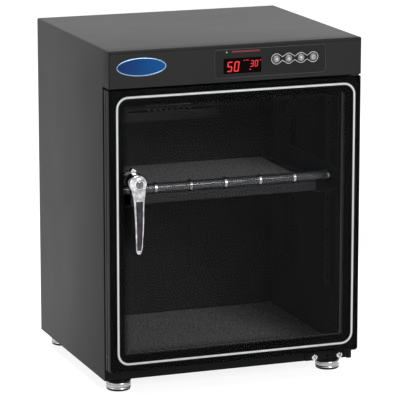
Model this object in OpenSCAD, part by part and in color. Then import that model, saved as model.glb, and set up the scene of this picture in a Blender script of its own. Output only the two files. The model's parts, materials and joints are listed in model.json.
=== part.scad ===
// Camera dry cabinet: a sheet-steel cabinet with a glass door, a key-locked lever handle, a humidity
// controller in its header, one slide-out tray and a small solid-state dehumidifier at the back.
// X runs across the cabinet, Y from its front to its back, and Z up from the floor. The origin is on
// the floor, in the middle of the whole cabinet. Lengths are in millimetres.

/* [Cabinet] */
// Width over the side panels
body_w = 400; // [360:5:480]
// Depth from the door's front face to the back panel's rear face
body_d = 350; // [330:5:420]
// Height of the body without its feet
body_h = 504; // [480:4:600]
// Thickness of the steel sheet
sheet_t = 1.2; // [0.8:0.1:1.6]
// Height of the header above the door
header_h = 56; // [52:1:70]
// Thickness of the header's front
fascia_t = 2; // [1.6:0.1:2.6]
// Height of the bottom rail that shows below the door
rail_show_h = 20; // [18:1:28]
// Width of the flange around the door opening
flange_w = 14; // [11:1:18]

/* [Door] */
// Gap between the header and the door
door_gap = 3; // [2.8:0.1:5]
// Thickness of the glass
glass_t = 5; // [4:0.5:6]
// Thickness of the enamel printed on the back of the glass
print_t = 0.2; // [0.1:0.05:0.4]
// Width of the solid black border printed on the glass
border_w = 23; // [20:1:30]
// Radius of the border's inner corners
border_r = 8; // [4:1:12]
// Depth of the profiles behind the glass
frame_t = 16.8; // [15:0.2:20]
// Width of the profiles behind the glass
frame_w = 22; // [20:0.5:23]
// Width of the groove along the profiles' outer side
groove_w = 2; // [1:0.5:4]
// Depth of that groove
groove_d = 1; // [0.5:0.5:2]
// Thickness of the seal behind the profiles
gasket_t = 5.6; // [4:0.1:8]
// Width of the seal
gasket_w = 12; // [8:1:12]
// How far the seal's outer edge lies in from the door's edge
gasket_inset = 8; // [7:0.5:9]
// Gap between the seal and the flange that it faces
seal_gap = 0.4; // [0.3:0.1:1]

/* [Hinges] */
// Distance of the hinge axis from the door's right edge
hinge_inset = 10; // [9:0.5:12]
// Distance of the hinge axis behind the door's front face
hinge_depth = 12; // [11:0.5:13]
// Radius of the hinge pins
pin_r = 3; // [2.5:0.25:3.5]
// Wall of the bushes that the pins turn in
bush_wall = 2; // [1:0.25:2]
// Length of the bushes
bush_len = 12; // [8:1:14]
// How far the bushes' flanges stand out around them
bush_flange_w = 1.5; // [1:0.25:2]
// Thickness of the hinge brackets
bracket_t = 2; // [1.6:0.1:2.4]
// Length of the bottom bracket along the rail
bottom_bracket_l = 75; // [70:1:90]
// Length of the top bracket under the header
top_bracket_l = 50; // [46:1:60]
// Height of the pivot nut under the bottom bracket
pivot_nut_h = 13; // [6:1:16]
// Radius of that nut
pivot_nut_r = 4.5; // [4:0.25:6]

/* [Feet] */
// Height from the floor to the underside of the body
foot_h = 20; // [18:1:26]
// Radius of the rubber pad
pad_r = 18; // [14:0.5:19]
// Height of the rubber pad
pad_h = 3.5; // [2:0.5:5]
// Radius of the steel foot
foot_r = 19; // [15:0.5:20]
// Radius of the collar above the foot
collar_r = 19.5; // [15:0.5:20]
// Height of the collar
collar_h = 6.2; // [5:0.2:7]
// Radius of the threaded stud
stud_r = 4; // [3:0.5:5]
// Distance of the feet from the cabinet's sides
foot_side = 29; // [24:1:50]
// Distance of the front feet behind the bottom rail's face
foot_front = 22; // [21:1:60]
// Distance of the rear feet in from the back
foot_back = 25; // [21:1:60]

/* [Handle] */
// Distance of the handle's axis from the door's left edge
handle_side = 38; // [37:0.5:44]
// Height of the handle's axis above the underside of the body
handle_z = 309; // [250:1:340]
// How far the lever's front stands out from the glass
lever_reach = 27; // [25:0.5:32]
// Radius of the lever's head
head_r = 14; // [12:0.5:16]
// Depth of the lever's head
head_d = 18; // [16:0.5:18.5]
// Length of the arm below the axis
arm_len = 106; // [80:1:130]
// Width of the arm at the head
arm_top_w = 20; // [16:1:24]
// Width of the arm at its tip
arm_tip_w = 11; // [8:1:14]
// Thickness of the arm
arm_t = 8; // [6:0.5:9]
// How far the middle of the arm bows forward
arm_bow = 1.5; // [0:0.5:3]
// How far the arm's tip leans back to the glass
arm_tip_set = 3; // [0:0.5:4]
// Radius of the handle's spindle
spindle_r = 4; // [3:0.5:5]
// Radius of the threaded neck through the glass
neck_r = 9; // [7:0.5:10]
// Radius of the key cylinder
lock_r = 5.5; // [4.5:0.5:6.5]
// Length of the key cylinder
lock_len = 13; // [8:1:13]
// Thickness of the latch cam
cam_t = 2.5; // [2:0.25:3]
// Width of the latch cam
cam_w = 14; // [10:1:16]

/* [Controls] */
// Gap from the header's lower edge to the control panel
overlay_below = 5.5; // [3:0.5:6]
// Gap from the control panel to the header's upper edge
overlay_above = 6.5; // [6:0.5:9]
// Distance of the control panel's centre to the right of the cabinet's centre
overlay_x = 53.5; // [40:0.5:70]
// Thickness of the control panel's film
overlay_t = 0.8; // [0.5:0.1:1]
// Radius of the control panel's corners
overlay_r = 6; // [3:1:10]
// Width of the display window
display_w = 60; // [55:1:66]
// Height of the display window
display_h = 23; // [16:1:24]
// Distance from the control panel's left edge to the display
display_margin = 14.8; // [10:0.2:20]
// Distance from the display to the first button's centre
button_gap = 24; // [20:1:28]
// Distance between button centres
button_pitch = 19.7; // [18:0.1:22]
// Distance from the last button's centre to the control panel's right edge
button_margin = 21.1; // [16:0.1:26]
// How far the buttons' centres lie above the middle of the control panel
button_rise = 2.8; // [0:0.2:4]
// Radius of the buttons
button_r = 6; // [4:0.25:7]
// How far the buttons stand out of the header
button_out = 1.6; // [1.2:0.1:2.5]
// How far a button travels
button_travel = 0.8; // [0.5:0.1:1]
// Width of the nameplate
plate_w = 77; // [50:1:84]
// Height of the nameplate
plate_h = 27; // [18:1:30]
// Thickness of the nameplate
plate_t = 1.2; // [0.8:0.1:1.6]
// Distance of the nameplate from the cabinet's left side
plate_side = 12; // [10:1:20]
// How far the nameplate's centre lies above the middle of the header's front
plate_rise = 5; // [0:0.5:6]

/* [Tray] */
// Gap between each side of the tray and the upright strips
tray_side = 39; // [34:1:60]
// Gap between the tray and the dehumidifier behind it
tray_back = 10; // [4:1:40]
// Height of the tray's walls
tray_h = 14; // [12:1:20]
// Thickness of the foam mats
mat_t = 10; // [6:1:10]
// How far the tray slides behind the closed door
tray_travel = 7; // [4:1:7]
// Radius of the grip bar
bar_r = 7.5; // [6:0.5:8]
// How far the bar runs past each side of the tray
bar_over = 20; // [10:1:24]
// Number of rings around the bar
ring_count = 7; // [3:2:9]
// Width of each ring
ring_w = 4; // [3:0.5:6]
// Wall of each ring
ring_wall = 1.5; // [1:0.25:2]

/* [Shelf standards] */
// Width of each upright strip
standard_w = 22; // [18:1:26]
// Depth of each upright strip
standard_d = 10; // [8:1:12]
// Number of holes in each strip
hole_count = 12; // [10:1:13]
// Distance between the holes
hole_pitch = 25; // [24:1:26]
// Radius of the holes
hole_r = 3; // [2.5:0.25:4]
// Height of the strips' lower ends above the underside of the body
standard_z = 100; // [60:5:110]
// Distance of the front strips behind the door's front face
standard_front = 86; // [70:1:100]
// Distance of the rear strips' back edges from the cabinet's back
standard_back = 78; // [76:1:100]

/* [Dehumidifier] */
// Width of the unit's housing
unit_w = 160; // [140:5:200]
// Height of the unit's housing
unit_h = 90; // [86:1:96]
// Depth of the unit's housing
unit_d = 64; // [60:1:70]
// Distance from the header down to the top of the housing
unit_drop = 18; // [14:1:30]
// Wall of the housing
unit_wall = 2; // [1.5:0.5:3]
// Width of both heat sinks
sink_w = 70; // [60:1:80]
// Height of both heat sinks
sink_h = 60; // [56:1:66]
// Thickness of the heat sinks' bases
sink_base = 4; // [3:0.5:5]
// Number of fins on each heat sink
fin_count = 8; // [5:1:10]
// Thickness of the fins
fin_t = 1.5; // [1:0.1:2]
// Length of the fins on the cold side
cold_fin = 14; // [8:1:16]
// Length of the fins on the hot side
hot_fin = 24; // [16:1:26]
// Side of the square cooling module
module_w = 40; // [30:1:44]
// Thickness of the cooling module
module_t = 4; // [3:0.5:5]
// Width of each air slot
slot_h = 3; // [2:0.5:4]
// Distance between air slots
slot_pitch = 8; // [7:0.5:10]
// Width of the rear vent cover
cover_w = 120; // [116:1:130]
// Height of the rear vent cover
cover_h = 84; // [80:1:86]

/* [Fasteners and wiring] */
// Radius of the screws' heads
screw_head_r = 5; // [4:0.25:5.5]
// Height of the screws' heads
screw_head_h = 2.6; // [2:0.1:3]
// Radius of the screws' shanks
screw_r = 2; // [1.5:0.25:2.5]
// Radius of the bundled wires
wire_r = 2.5; // [1.5:0.25:3]
// Distance of the power inlet to the right of the cabinet's centre
inlet_x = 120; // [90:5:140]
// Radius of the power inlet's socket
socket_r = 2.75; // [2.5:0.05:3]
// Depth of the power inlet's socket
socket_d = 9.5; // [8:0.5:11]
// Radius of the contact pin in the socket
contact_r = 1; // [0.8:0.05:1.25]

/* [Hidden] */
$fn = 48;

// Clearances and small sizes that several pieces share
play = 0.05; // radial play of a turning fit
gap = 0.3; // gap between pieces that move past each other
seam = 0.4; // seam that shows beside the header's front
over = 1; // overrun of a cut past the face that it leaves
mid_share = 0.5; // place of a hole or a slot in its pitch, as a share of the pitch

// Places across the cabinet
side_x = body_w / 2;
inner_x = side_x - sheet_t;
opening_x = inner_x - flange_w;
standard_x = inner_x - standard_d;

// Heights
top_z = foot_h + body_h;
header_z = top_z - header_h;
door_top = header_z - door_gap;
door_bottom = foot_h + rail_show_h;
opening_bottom = door_bottom + flange_w;
opening_top = header_z - flange_w;
base_top = foot_h + sheet_t;

// Depths, counted back from the door's front face
frame_y = glass_t + print_t;
gasket_y = frame_y + frame_t;
recess = gasket_y + gasket_t + seal_gap;
flange_back = recess + sheet_t;
rear_y = body_d - sheet_t;
screw_len = bracket_t + sheet_t;
front_reach = lever_reach + arm_bow;
back_reach = bracket_t + screw_head_h;
row_y = (front_reach - body_d - back_reach) / 2; // puts the origin in the middle of the depth

// A box between two planes on each axis
module block(x, y, z) {
    translate([x[0], y[0] + row_y, z[0]])
        cube([x[1] - x[0], y[1] - y[0], z[1] - z[0]]);
}

// A round bar along each axis
module rod_x(x, y, z, r) {
    translate([x[0], y + row_y, z])
        rotate([0, 90, 0])
            cylinder(r = r, h = x[1] - x[0]);
}

module rod_y(x, y, z, r) {
    translate([x, y[0] + row_y, z])
        rotate([-90, 0, 0])
            cylinder(r = r, h = y[1] - y[0]);
}

module rod_z(x, y, z, r) {
    translate([x, y + row_y, z[0]])
        cylinder(r = r, h = z[1] - z[0]);
}

// A plate with round corners that faces the front, between two planes on each axis
module round_plate(x, y, z, r) {
    for (cx = [x[0] + r, x[1] - r], cz = [z[0] + r, z[1] - r])
        rod_y(cx, y, cz, r);
    block([x[0] + r, x[1] - r], y, z);
    block(x, y, [z[0] + r, z[1] - r]);
}

// Body: side, top, base and back sheets
module side_panel(x) {
    color("#444446") block(x, [recess, body_d], [foot_h, header_z]);
}

module left_side_panel() side_panel([-side_x, -inner_x]);

module right_side_panel() side_panel([inner_x, side_x]);

module header_cheeks() {
    color("#444446")
        for (x = [[-side_x, -inner_x], [inner_x, side_x]])
            block(x, [0, body_d], [header_z, top_z - sheet_t]);
}

lip_h = 3 * sheet_t; // front edge of the top sheet, folded down
lip_z = top_z - sheet_t - lip_h;

module top_panel() {
    color("#767676") {
        block([-side_x, side_x], [0, body_d], [top_z - sheet_t, top_z]);
        block([-inner_x + seam, inner_x - seam], [0, sheet_t], [lip_z, top_z]);
    }
}

module base_panel() {
    color("#202022")
        difference() {
            block([-inner_x, inner_x], [flange_back, rear_y], [foot_h, base_top]);
            for (x = foot_xs, y = foot_ys)
                rod_z(x, y, [foot_h - over, base_top + over], stud_r + gap);
        }
}

module back_panel() {
    color("#3a3a3c")
        difference() {
            block([-inner_x, inner_x], [rear_y, body_d], [foot_h, top_z - sheet_t]);
            block([-vent_x, vent_x], [rear_y - over, body_d + over], vent_z);
            cover_screws(screw_r, [rear_y - over, body_d + over]);
            block(inlet_body_x, [rear_y - over, body_d + over], inlet_body_z);
        }
}

// Front of the body: the sheet around the door opening and the rail below the door
module front_frame() {
    color("#151517")
        difference() {
            block([-inner_x, inner_x], [recess, flange_back], [opening_bottom, header_z]);
            block([-opening_x, opening_x], [recess - over, flange_back + over],
                [opening_bottom - over, opening_top]);
        }
}

module bottom_rail() {
    color("#1c1c1e")
        difference() {
            block([-inner_x, inner_x], [recess, flange_back], [foot_h, opening_bottom]);
            bottom_screws(screw_r, [recess - over, flange_back + over]);
        }
}

// Header: floor, front and the blank nameplate
wire_hole_r = 1.5 * wire_r;

module header_floor() {
    color("#1c1c1e")
        difference() {
            block([-inner_x, inner_x], [fascia_t, rear_y], [header_z, header_z + sheet_t]);
            top_screws(screw_r, [header_z - over, header_z + sheet_t + over]);
            rod_z(0, wire_y, [header_z - over, header_z + sheet_t + over], wire_hole_r);
        }
}

overlay_w = display_margin + display_w + button_gap + 3 * button_pitch + button_margin;
overlay_xs = [overlay_x - overlay_w / 2, overlay_x + overlay_w / 2];
overlay_zs = [header_z + overlay_below, top_z - overlay_above];
overlay_mid = (overlay_zs[0] + overlay_zs[1]) / 2;
overlay_h = overlay_zs[1] - overlay_zs[0];
overlay_seat = overlay_t * 3 / 4; // depth of the pocket that holds the film
display_xs = [overlay_xs[0] + display_margin, overlay_xs[0] + display_margin + display_w];
display_drop = overlay_h / 12; // the display sits a little below the middle
display_zs = [overlay_mid - display_drop - display_h / 2, overlay_mid - display_drop + display_h / 2];
display_t = fascia_t - overlay_seat - print_t;
button_x0 = display_xs[1] + button_gap;
button_xs = [for (i = [0 : 3]) button_x0 + i * button_pitch];
button_play = gap;
button_z = overlay_mid + button_rise;
boss_r = 1.5 * screw_r;
board_y = fascia_t + 5 * sheet_t; // the board's front face
board_t = 1.6; // thickness of a circuit board
board_xs = [overlay_xs[0] + boss_r, overlay_xs[1] - boss_r];
board_zs = [header_z + 2 * sheet_t, overlay_zs[1] - boss_r];

module header_fascia() {
    color("#2c2c2e") {
        difference() {
            block([-inner_x + seam, inner_x - seam], [0, fascia_t], [header_z, lip_z]);
            round_plate([overlay_xs[0] - play, overlay_xs[1] + play], [-over, overlay_seat],
                [overlay_zs[0] - play, overlay_zs[1] + play], overlay_r);
            block([display_xs[0] - play, display_xs[1] + play], [0, fascia_t + over],
                [display_zs[0] - play, display_zs[1] + play]);
            for (x = button_xs)
                rod_y(x, [0, fascia_t + over], button_z, button_r + button_play);
            rod_y(led_x, [0, fascia_t + over], led_z, led_r + play);
        }
        for (x = [board_xs[0] + boss_r, board_xs[1] - boss_r],
                z = [board_zs[0] + boss_r, board_zs[1] - boss_r])
            rod_y(x, [fascia_t, board_y], z, boss_r);
    }
}

module control_overlay() {
    color("#101012")
        difference() {
            round_plate(overlay_xs, [overlay_seat - overlay_t, overlay_seat], overlay_zs, overlay_r);
            for (x = button_xs)
                rod_y(x, [-over, overlay_seat + over], button_z, button_r + button_play);
        }
}

module display_window() {
    color("#1a0505")
        block(display_xs, [overlay_seat, overlay_seat + display_t], display_zs);
}

plate_mid = (header_z + lip_z) / 2 + plate_rise;
plate_steps = 72; // corners of the oval plate's outline

module nameplate() {
    color("#1d4f8c")
        translate([plate_side - side_x + plate_w / 2, row_y, plate_mid])
            rotate([90, 0, 0])
                linear_extrude(height = plate_t)
                    polygon([
                        for (i = [0 : plate_steps - 1])
                            let (turn = 360 * i / plate_steps)
                                [plate_w / 2 * cos(turn), plate_h / 2 * sin(turn)]
                    ]);
}

// The lit figures: seven-segment digits in a slab, given as shares of a digit's cell
segment_shares = [
    [0.5, 1, "h"], [1, 0.75, "v"], [1, 0.25, "v"], [0.5, 0, "h"], [0, 0.25, "v"], [0, 0.75, "v"],
    [0.5, 0.5, "h"]
]; // centre of each segment across and up the cell, and which way it runs
zero_lit = [0, 1, 2, 3, 4, 5];
three_lit = [0, 1, 2, 3, 6];
five_lit = [0, 2, 3, 5, 6];
stroke_share = 0.14; // width of a segment's stroke as a share of the digit's height
digit_share = 0.5; // width of a digit's cell as a share of its height
digit_x_shares = [0.1, 0.26, 0.56, 0.68]; // left edge of each digit as a share of the display's width
big_h = display_h * 2 / 3;
small_h = display_h / 2;
digit_y = [overlay_seat + display_t, fascia_t];

module digit(x, z, h, lit) {
    stroke = h * stroke_share;
    cell_w = h * digit_share - stroke;
    cell_h = h - stroke;
    for (i = lit) {
        cx = x + stroke / 2 + segment_shares[i][0] * cell_w;
        cz = z + stroke / 2 + segment_shares[i][1] * cell_h;
        flat = segment_shares[i][2] == "h";
        half_x = flat ? cell_w / 2 : stroke / 2;
        half_z = flat ? stroke / 2 : cell_h / 4;
        block([cx - half_x, cx + half_x], digit_y, [cz - half_z, cz + half_z]);
    }
}

module display_digits() {
    color("#ff3020") {
        z = (display_zs[0] + display_zs[1] - big_h) / 2;
        small_z = z + big_h - small_h;
        digit(display_xs[0] + display_w * digit_x_shares[0], z, big_h, five_lit);
        digit(display_xs[0] + display_w * digit_x_shares[1], z, big_h, zero_lit);
        digit(display_xs[0] + display_w * digit_x_shares[2], small_z, small_h, three_lit);
        digit(display_xs[0] + display_w * digit_x_shares[3], small_z, small_h, zero_lit);
    }
}

// The board behind the header's front carries the display, the lamp and the four switches
led_r = overlay_r / 4;
led_x = display_xs[0] + display_margin / 3;
led_z = overlay_zs[1] - overlay_h / 10;
switch_w = button_r;
switch_y = board_y - sheet_t;
plug_w = 5 * wire_r;
plug_d = 3 * wire_r;
wire_z = overlay_mid;
wire_x = 0;

module control_board() {
    color("#1f5a35") {
        block(board_xs, [board_y, board_y + board_t], board_zs);
        block(display_xs, [fascia_t, board_y], display_zs);
        for (x = button_xs)
            block([x - switch_w / 2, x + switch_w / 2], [switch_y, board_y],
                [button_z - switch_w / 2, button_z + switch_w / 2]);
        rod_y(led_x, [overlay_seat, board_y], led_z, led_r);
        block([wire_x - plug_w / 2, wire_x + plug_w / 2], [board_y + board_t, plug_back],
            [wire_z - plug_w / 2, wire_z + plug_w / 2]);
    }
}

// Buttons: a cap, a flange that keeps it in and a stem that reaches the switch
button_back = fascia_t + gap;

module button(i) {
    x = button_xs[i];
    color("#c8c8c8") {
        rod_y(x, [-button_out, button_back], button_z, button_r);
        rod_y(x, [button_back, button_back + sheet_t], button_z, button_r + 3 * gap);
        rod_y(x, [button_back, switch_y - gap - button_travel], button_z, button_r / 3);
    }
}

module mode_button() button(0);

module up_button() button(1);

module down_button() button(2);

module power_button() button(3);

// Inside: upright strips with holes, the rails hooked into them and the floor mat
standard_ys = [standard_front, body_d - standard_back - standard_w];
standard_z0 = foot_h + standard_z;
standard_z1 = standard_z0 + hole_count * hole_pitch;
rail_hole = 6; // the hole that each rail's lower pegs hang in, counted from the bottom
rail_z = standard_z0 + (rail_hole + mid_share) * hole_pitch;
peg_r = hole_r - gap;
web_x = standard_x - sheet_t;

module shelf_standards() {
    color("#2a2a2d")
        for (side = [-1, 1], y = standard_ys)
            difference() {
                block(sorted(side * standard_x, side * inner_x), [y, y + standard_w],
                    [standard_z0, standard_z1]);
                block(sorted(side * (standard_x + sheet_t), side * (inner_x + over)),
                    [y + sheet_t, y + standard_w - sheet_t], [standard_z0 - over, standard_z1 + over]);
                for (i = [0 : hole_count - 1])
                    rod_x(sorted(side * (standard_x - over), side * (standard_x + 2 * sheet_t)),
                        y + standard_w / 2, standard_z0 + (i + mid_share) * hole_pitch, hole_r);
            }
}

function sorted(a, b) = a < b ? [a, b] : [b, a];

// Tray: its place follows from the latch cam in front of it and the dehumidifier behind it
cam_gap = gap + sheet_t / 2; // gap between the flange and the latch cam behind it
cam_y = [flange_back + cam_gap, flange_back + cam_gap + cam_t];
spindle_back = cam_y[1] + sheet_t / 2;
bar_y = spindle_back + 3 * gap + tray_travel + bar_r + ring_wall;
tray_x = standard_x - tray_side;
tray_y = [bar_y - sheet_t / 2, rear_y - unit_d - tray_back];
tray_z = [rail_z, rail_z + tray_h];
rail_top = tray_z[0] - gap;
rail_under = 2 * bar_r / 3; // how far each rail reaches under the tray
rail_y = [tray_y[0] - tray_travel, standard_ys[1] + standard_w];
ring_foot = ring_w; // depth of the feet that hold the rings to the tray
bar_x = tray_x + bar_over;
bar_z = tray_z[1] + bar_r + ring_wall;

module tray_rails() {
    color("#2c2c2f")
        for (side = [-1, 1]) {
            block(sorted(side * web_x, side * standard_x), rail_y,
                [rail_top - sheet_t, rail_z + hole_pitch + 2 * hole_r]);
            block(sorted(side * (tray_x - rail_under), side * standard_x), rail_y,
                [rail_top - sheet_t, rail_top]);
            for (y = standard_ys, i = [0, 1])
                rod_x(sorted(side * standard_x, side * (standard_x + 2 * sheet_t)),
                    y + standard_w / 2, rail_z + i * hole_pitch, peg_r);
        }
}

module tray() {
    color("#38383b")
        difference() {
            block([-tray_x, tray_x], tray_y, tray_z);
            block([sheet_t - tray_x, tray_x - sheet_t], [tray_y[0] + sheet_t, tray_y[1] - sheet_t],
                [tray_z[0] + sheet_t, tray_z[1] + over]);
        }
}

module tray_mat() {
    color("#3c3c40")
        block([sheet_t + gap - tray_x, tray_x - sheet_t - gap],
            [tray_y[0] + sheet_t + ring_foot + gap, tray_y[1] - sheet_t - gap],
            [tray_z[0] + sheet_t, tray_z[0] + sheet_t + mat_t]);
}

module tray_bar() {
    color("#4a4d55") rod_x([-bar_x, bar_x], bar_y, bar_z, bar_r);
}

module bar_rings() {
    reach = bar_x - ring_w / 2;
    color("#d0d0d4")
        for (i = [0 : ring_count - 1]) {
            x = -reach + 2 * reach * i / (ring_count - 1);
            ring_xs = [x - ring_w / 2, x + ring_w / 2];
            difference() {
                rod_x(ring_xs, bar_y, bar_z, bar_r + ring_wall);
                rod_x([ring_xs[0] - over, ring_xs[1] + over], bar_y, bar_z, bar_r);
            }
            if (abs(x) < tray_x - ring_w)
                block(ring_xs, [tray_y[0] + sheet_t, tray_y[0] + sheet_t + ring_foot],
                    [tray_z[1] - tray_h / 2, tray_z[1] + ring_wall]);
        }
}

module floor_mat() {
    color("#36363a")
        block([gap - inner_x, inner_x - gap], [flange_back + gap, rear_y - gap],
            [base_top, base_top + mat_t]);
}

// Dehumidifier: a housing that draws cabinet air over the cold sink, with the hot sink behind it
unit_zs = [header_z - unit_drop - unit_h, header_z - unit_drop];
unit_mid = (unit_zs[0] + unit_zs[1]) / 2;
unit_y = rear_y - unit_d;
hot_back = rear_y - 3 * unit_wall;
hot_y = hot_back - hot_fin - sink_base;
module_y = hot_y - module_t;
cold_y = module_y - sink_base;
slot_count = floor((sink_h + slot_pitch - slot_h) / slot_pitch);
slot_span = (slot_count - 1) * slot_pitch;

module air_slots(half_x, y) {
    for (i = [0 : slot_count - 1]) {
        z = unit_mid - slot_span / 2 + i * slot_pitch;
        block([-half_x, half_x], y, [z - slot_h / 2, z + slot_h / 2]);
    }
}

module dehumidifier_housing() {
    color("#19191b")
        difference() {
            block([-unit_w / 2, unit_w / 2], [unit_y, rear_y], unit_zs);
            block([unit_wall - unit_w / 2, unit_w / 2 - unit_wall], [unit_y + unit_wall, module_y],
                [unit_zs[0] + unit_wall, unit_zs[1] - unit_wall]);
            block([unit_wall - unit_w / 2, unit_w / 2 - unit_wall], [hot_y, rear_y + over],
                [unit_zs[0] + unit_wall, unit_zs[1] - unit_wall]);
            block([-module_w / 2 - gap, module_w / 2 + gap], [module_y - over, hot_y + over],
                [unit_mid - module_w / 2 - gap, unit_mid + module_w / 2 + gap]);
            air_slots(unit_w / 2 - 4 * unit_wall, [unit_y - over, unit_y + unit_wall + over]);
        }
}

// A heat sink: a base with fins in front of it (toward -Y) or behind it
module heat_sink(base_y, fin_y) {
    color("#b9bcc0") {
        block([-sink_w / 2, sink_w / 2], [base_y, base_y + sink_base],
            [unit_mid - sink_h / 2, unit_mid + sink_h / 2]);
        for (i = [0 : fin_count - 1]) {
            x = -sink_w / 2 + (sink_w - fin_t) * i / (fin_count - 1);
            block([x, x + fin_t], fin_y, [unit_mid - sink_h / 2, unit_mid + sink_h / 2]);
        }
    }
}

module cold_sink() heat_sink(cold_y, [cold_y - cold_fin, cold_y + sink_base]);

module hot_sink() heat_sink(hot_y, [hot_y, hot_back]);

module cooling_module() {
    color("#e8e8e0")
        block([-module_w / 2, module_w / 2], [module_y, hot_y],
            [unit_mid - module_w / 2, unit_mid + module_w / 2]);
}

// Back: the vent cover and the power inlet
vent_x = cover_w / 2 - 3 * screw_head_r;
vent_half_z = cover_h / 2 - 2 * screw_head_r;
vent_z = [unit_mid - vent_half_z, unit_mid + vent_half_z];

module rear_vent_cover() {
    color("#242426")
        difference() {
            block([-cover_w / 2, cover_w / 2], [body_d, body_d + bracket_t],
                [unit_mid - cover_h / 2, unit_mid + cover_h / 2]);
            air_slots(vent_x - slot_h, [body_d - over, body_d + bracket_t + over]);
            cover_screws(screw_r, [body_d - over, body_d + bracket_t + over]);
        }
}

inlet_half_x = 2.5 * socket_r;
inlet_half_z = 2 * socket_r;
inlet_rim = socket_r;
inlet_body_x = [inlet_x - inlet_half_x, inlet_x + inlet_half_x];
inlet_body_z = [wire_z - inlet_half_z, wire_z + inlet_half_z];
inlet_out = body_d + sheet_t;
inlet_in = inlet_out - socket_d - socket_r;

module power_inlet() {
    color("#0e0e10") {
        difference() {
            union() {
                block(inlet_body_x, [inlet_in, inlet_out], inlet_body_z);
                block([inlet_body_x[0] - inlet_rim, inlet_body_x[1] + inlet_rim], [body_d, inlet_out],
                    [inlet_body_z[0] - inlet_rim, inlet_body_z[1] + inlet_rim]);
            }
            rod_y(inlet_x, [inlet_out - socket_d, inlet_out + over], wire_z, socket_r);
        }
        rod_y(inlet_x, [inlet_out - socket_d, inlet_out - contact_r], wire_z, contact_r);
    }
}

// Humidity sensor: a slotted pod under the header's floor
sensor_w = 2 * unit_wall + 3 * slot_pitch;
sensor_h = 5 * unit_wall;
sensor_x = inlet_x - sensor_w / 2;
sensor_y = (standard_ys[0] + standard_ys[1]) / 2;

module humidity_sensor() {
    color("#d8d8d4")
        difference() {
            block([sensor_x, sensor_x + sensor_w], [sensor_y, sensor_y + sensor_w],
                [header_z - sensor_h, header_z]);
            for (i = [0 : 2]) {
                slot_y = sensor_y + slot_pitch * (i + mid_share);
                block([sensor_x + unit_wall, sensor_x + sensor_w - unit_wall], [slot_y, slot_y + slot_h],
                    [header_z - sensor_h - over, header_z - sensor_h / 2]);
            }
        }
}

// Wires: from the board to the dehumidifier, with a branch to the power inlet
plug_back = board_y + board_t + plug_d;
wire_y = rear_y - unit_d / 2;

module wire_bend(x) translate([x, wire_y + row_y, wire_z]) sphere(r = wire_r);

module wiring_harness() {
    color("#26262a") {
        rod_y(wire_x, [plug_back, wire_y], wire_z, wire_r);
        wire_bend(wire_x);
        rod_z(wire_x, wire_y, [unit_zs[1], wire_z], wire_r);
        rod_x([wire_x, inlet_x], wire_y, wire_z, wire_r);
        wire_bend(inlet_x);
        rod_y(inlet_x, [wire_y, inlet_in], wire_z, wire_r);
    }
}

// Hinges: brackets with pins on the body, and bushes in the door
hinge_x = side_x - hinge_inset;
bush_r = pin_r + play + bush_wall;
bush_rim_t = door_gap - bracket_t - gap;
tongue_z = door_bottom - bush_rim_t - gap;
bracket_x1 = side_x - seam;
bracket_y0 = hinge_depth - 2.5 * pin_r;
bottom_bracket_x0 = bracket_x1 - bottom_bracket_l;
top_bracket_x0 = bracket_x1 - top_bracket_l;

module bottom_hinge_bracket() {
    color("#141416") {
        difference() {
            block([bottom_bracket_x0, bracket_x1], [recess - bracket_t, recess], [foot_h, tongue_z]);
            bottom_screws(screw_r, [recess - bracket_t - over, recess + over]);
            block([bottom_slot_x, bottom_slot_x + screw_r], [recess - bracket_t - over, recess + over],
                [bottom_screw_z - screw_head_r / 2, bottom_screw_z + screw_head_r / 2]);
        }
        block([hinge_x - 3 * pin_r, bracket_x1], [bracket_y0, recess], [tongue_z - bracket_t, tongue_z]);
        rod_z(hinge_x, hinge_depth, [tongue_z - bracket_t, door_bottom + bush_len - gap], pin_r);
        rod_z(hinge_x, hinge_depth, [tongue_z - bracket_t - pivot_nut_h, tongue_z - bracket_t],
            pivot_nut_r);
    }
}

module top_hinge_bracket() {
    color("#141416") {
        difference() {
            block([top_bracket_x0, bracket_x1], [bracket_y0, recess - gap],
                [header_z - bracket_t, header_z]);
            top_screws(screw_r, [header_z - bracket_t - over, header_z + over]);
        }
        rod_z(hinge_x, hinge_depth, [door_top - bush_len + gap, header_z - bracket_t], pin_r);
    }
}

module bush(tube_z, rim_z) {
    difference() {
        union() {
            rod_z(hinge_x, hinge_depth, tube_z, bush_r);
            rod_z(hinge_x, hinge_depth, rim_z, bush_r + bush_flange_w);
        }
        rod_z(hinge_x, hinge_depth, [min(tube_z[0], rim_z[0]) - over, max(tube_z[1], rim_z[1]) + over],
            pin_r + play);
    }
}

module hinge_bushes() {
    color("#c9c4b0") {
        bush([door_top - bush_len, door_top], [door_top, door_top + bush_rim_t]);
        bush([door_bottom, door_bottom + bush_len], [door_bottom - bush_rim_t, door_bottom]);
    }
}

// Screws: one kind, under the bottom bracket, over the top bracket and around the vent cover
bottom_screw_xs = [bottom_bracket_x0 + bottom_bracket_l / 5, bottom_bracket_x0 + bottom_bracket_l * 3 / 4];
bottom_screw_z = foot_h + screw_head_r + gap;
bottom_slot_x = (bottom_screw_xs[0] + bottom_screw_xs[1]) / 2;
top_screw_xs = [top_bracket_x0 + top_bracket_l / 5, top_bracket_x0 + top_bracket_l / 2];
top_screw_y = (bracket_y0 + recess) / 2;
cover_screw_x = cover_w / 2 - 1.4 * screw_head_r;
cover_screw_z = cover_h / 2 - 1.4 * screw_head_r;

module bottom_screws(r, y) {
    for (x = bottom_screw_xs)
        rod_y(x, y, bottom_screw_z, r);
}

module top_screws(r, z) {
    for (x = top_screw_xs)
        rod_z(x, top_screw_y, z, r);
}

module cover_screws(r, y) {
    for (x = [-cover_screw_x, cover_screw_x], z = [-cover_screw_z, cover_screw_z])
        rod_y(x, y, unit_mid + z, r);
}

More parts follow.
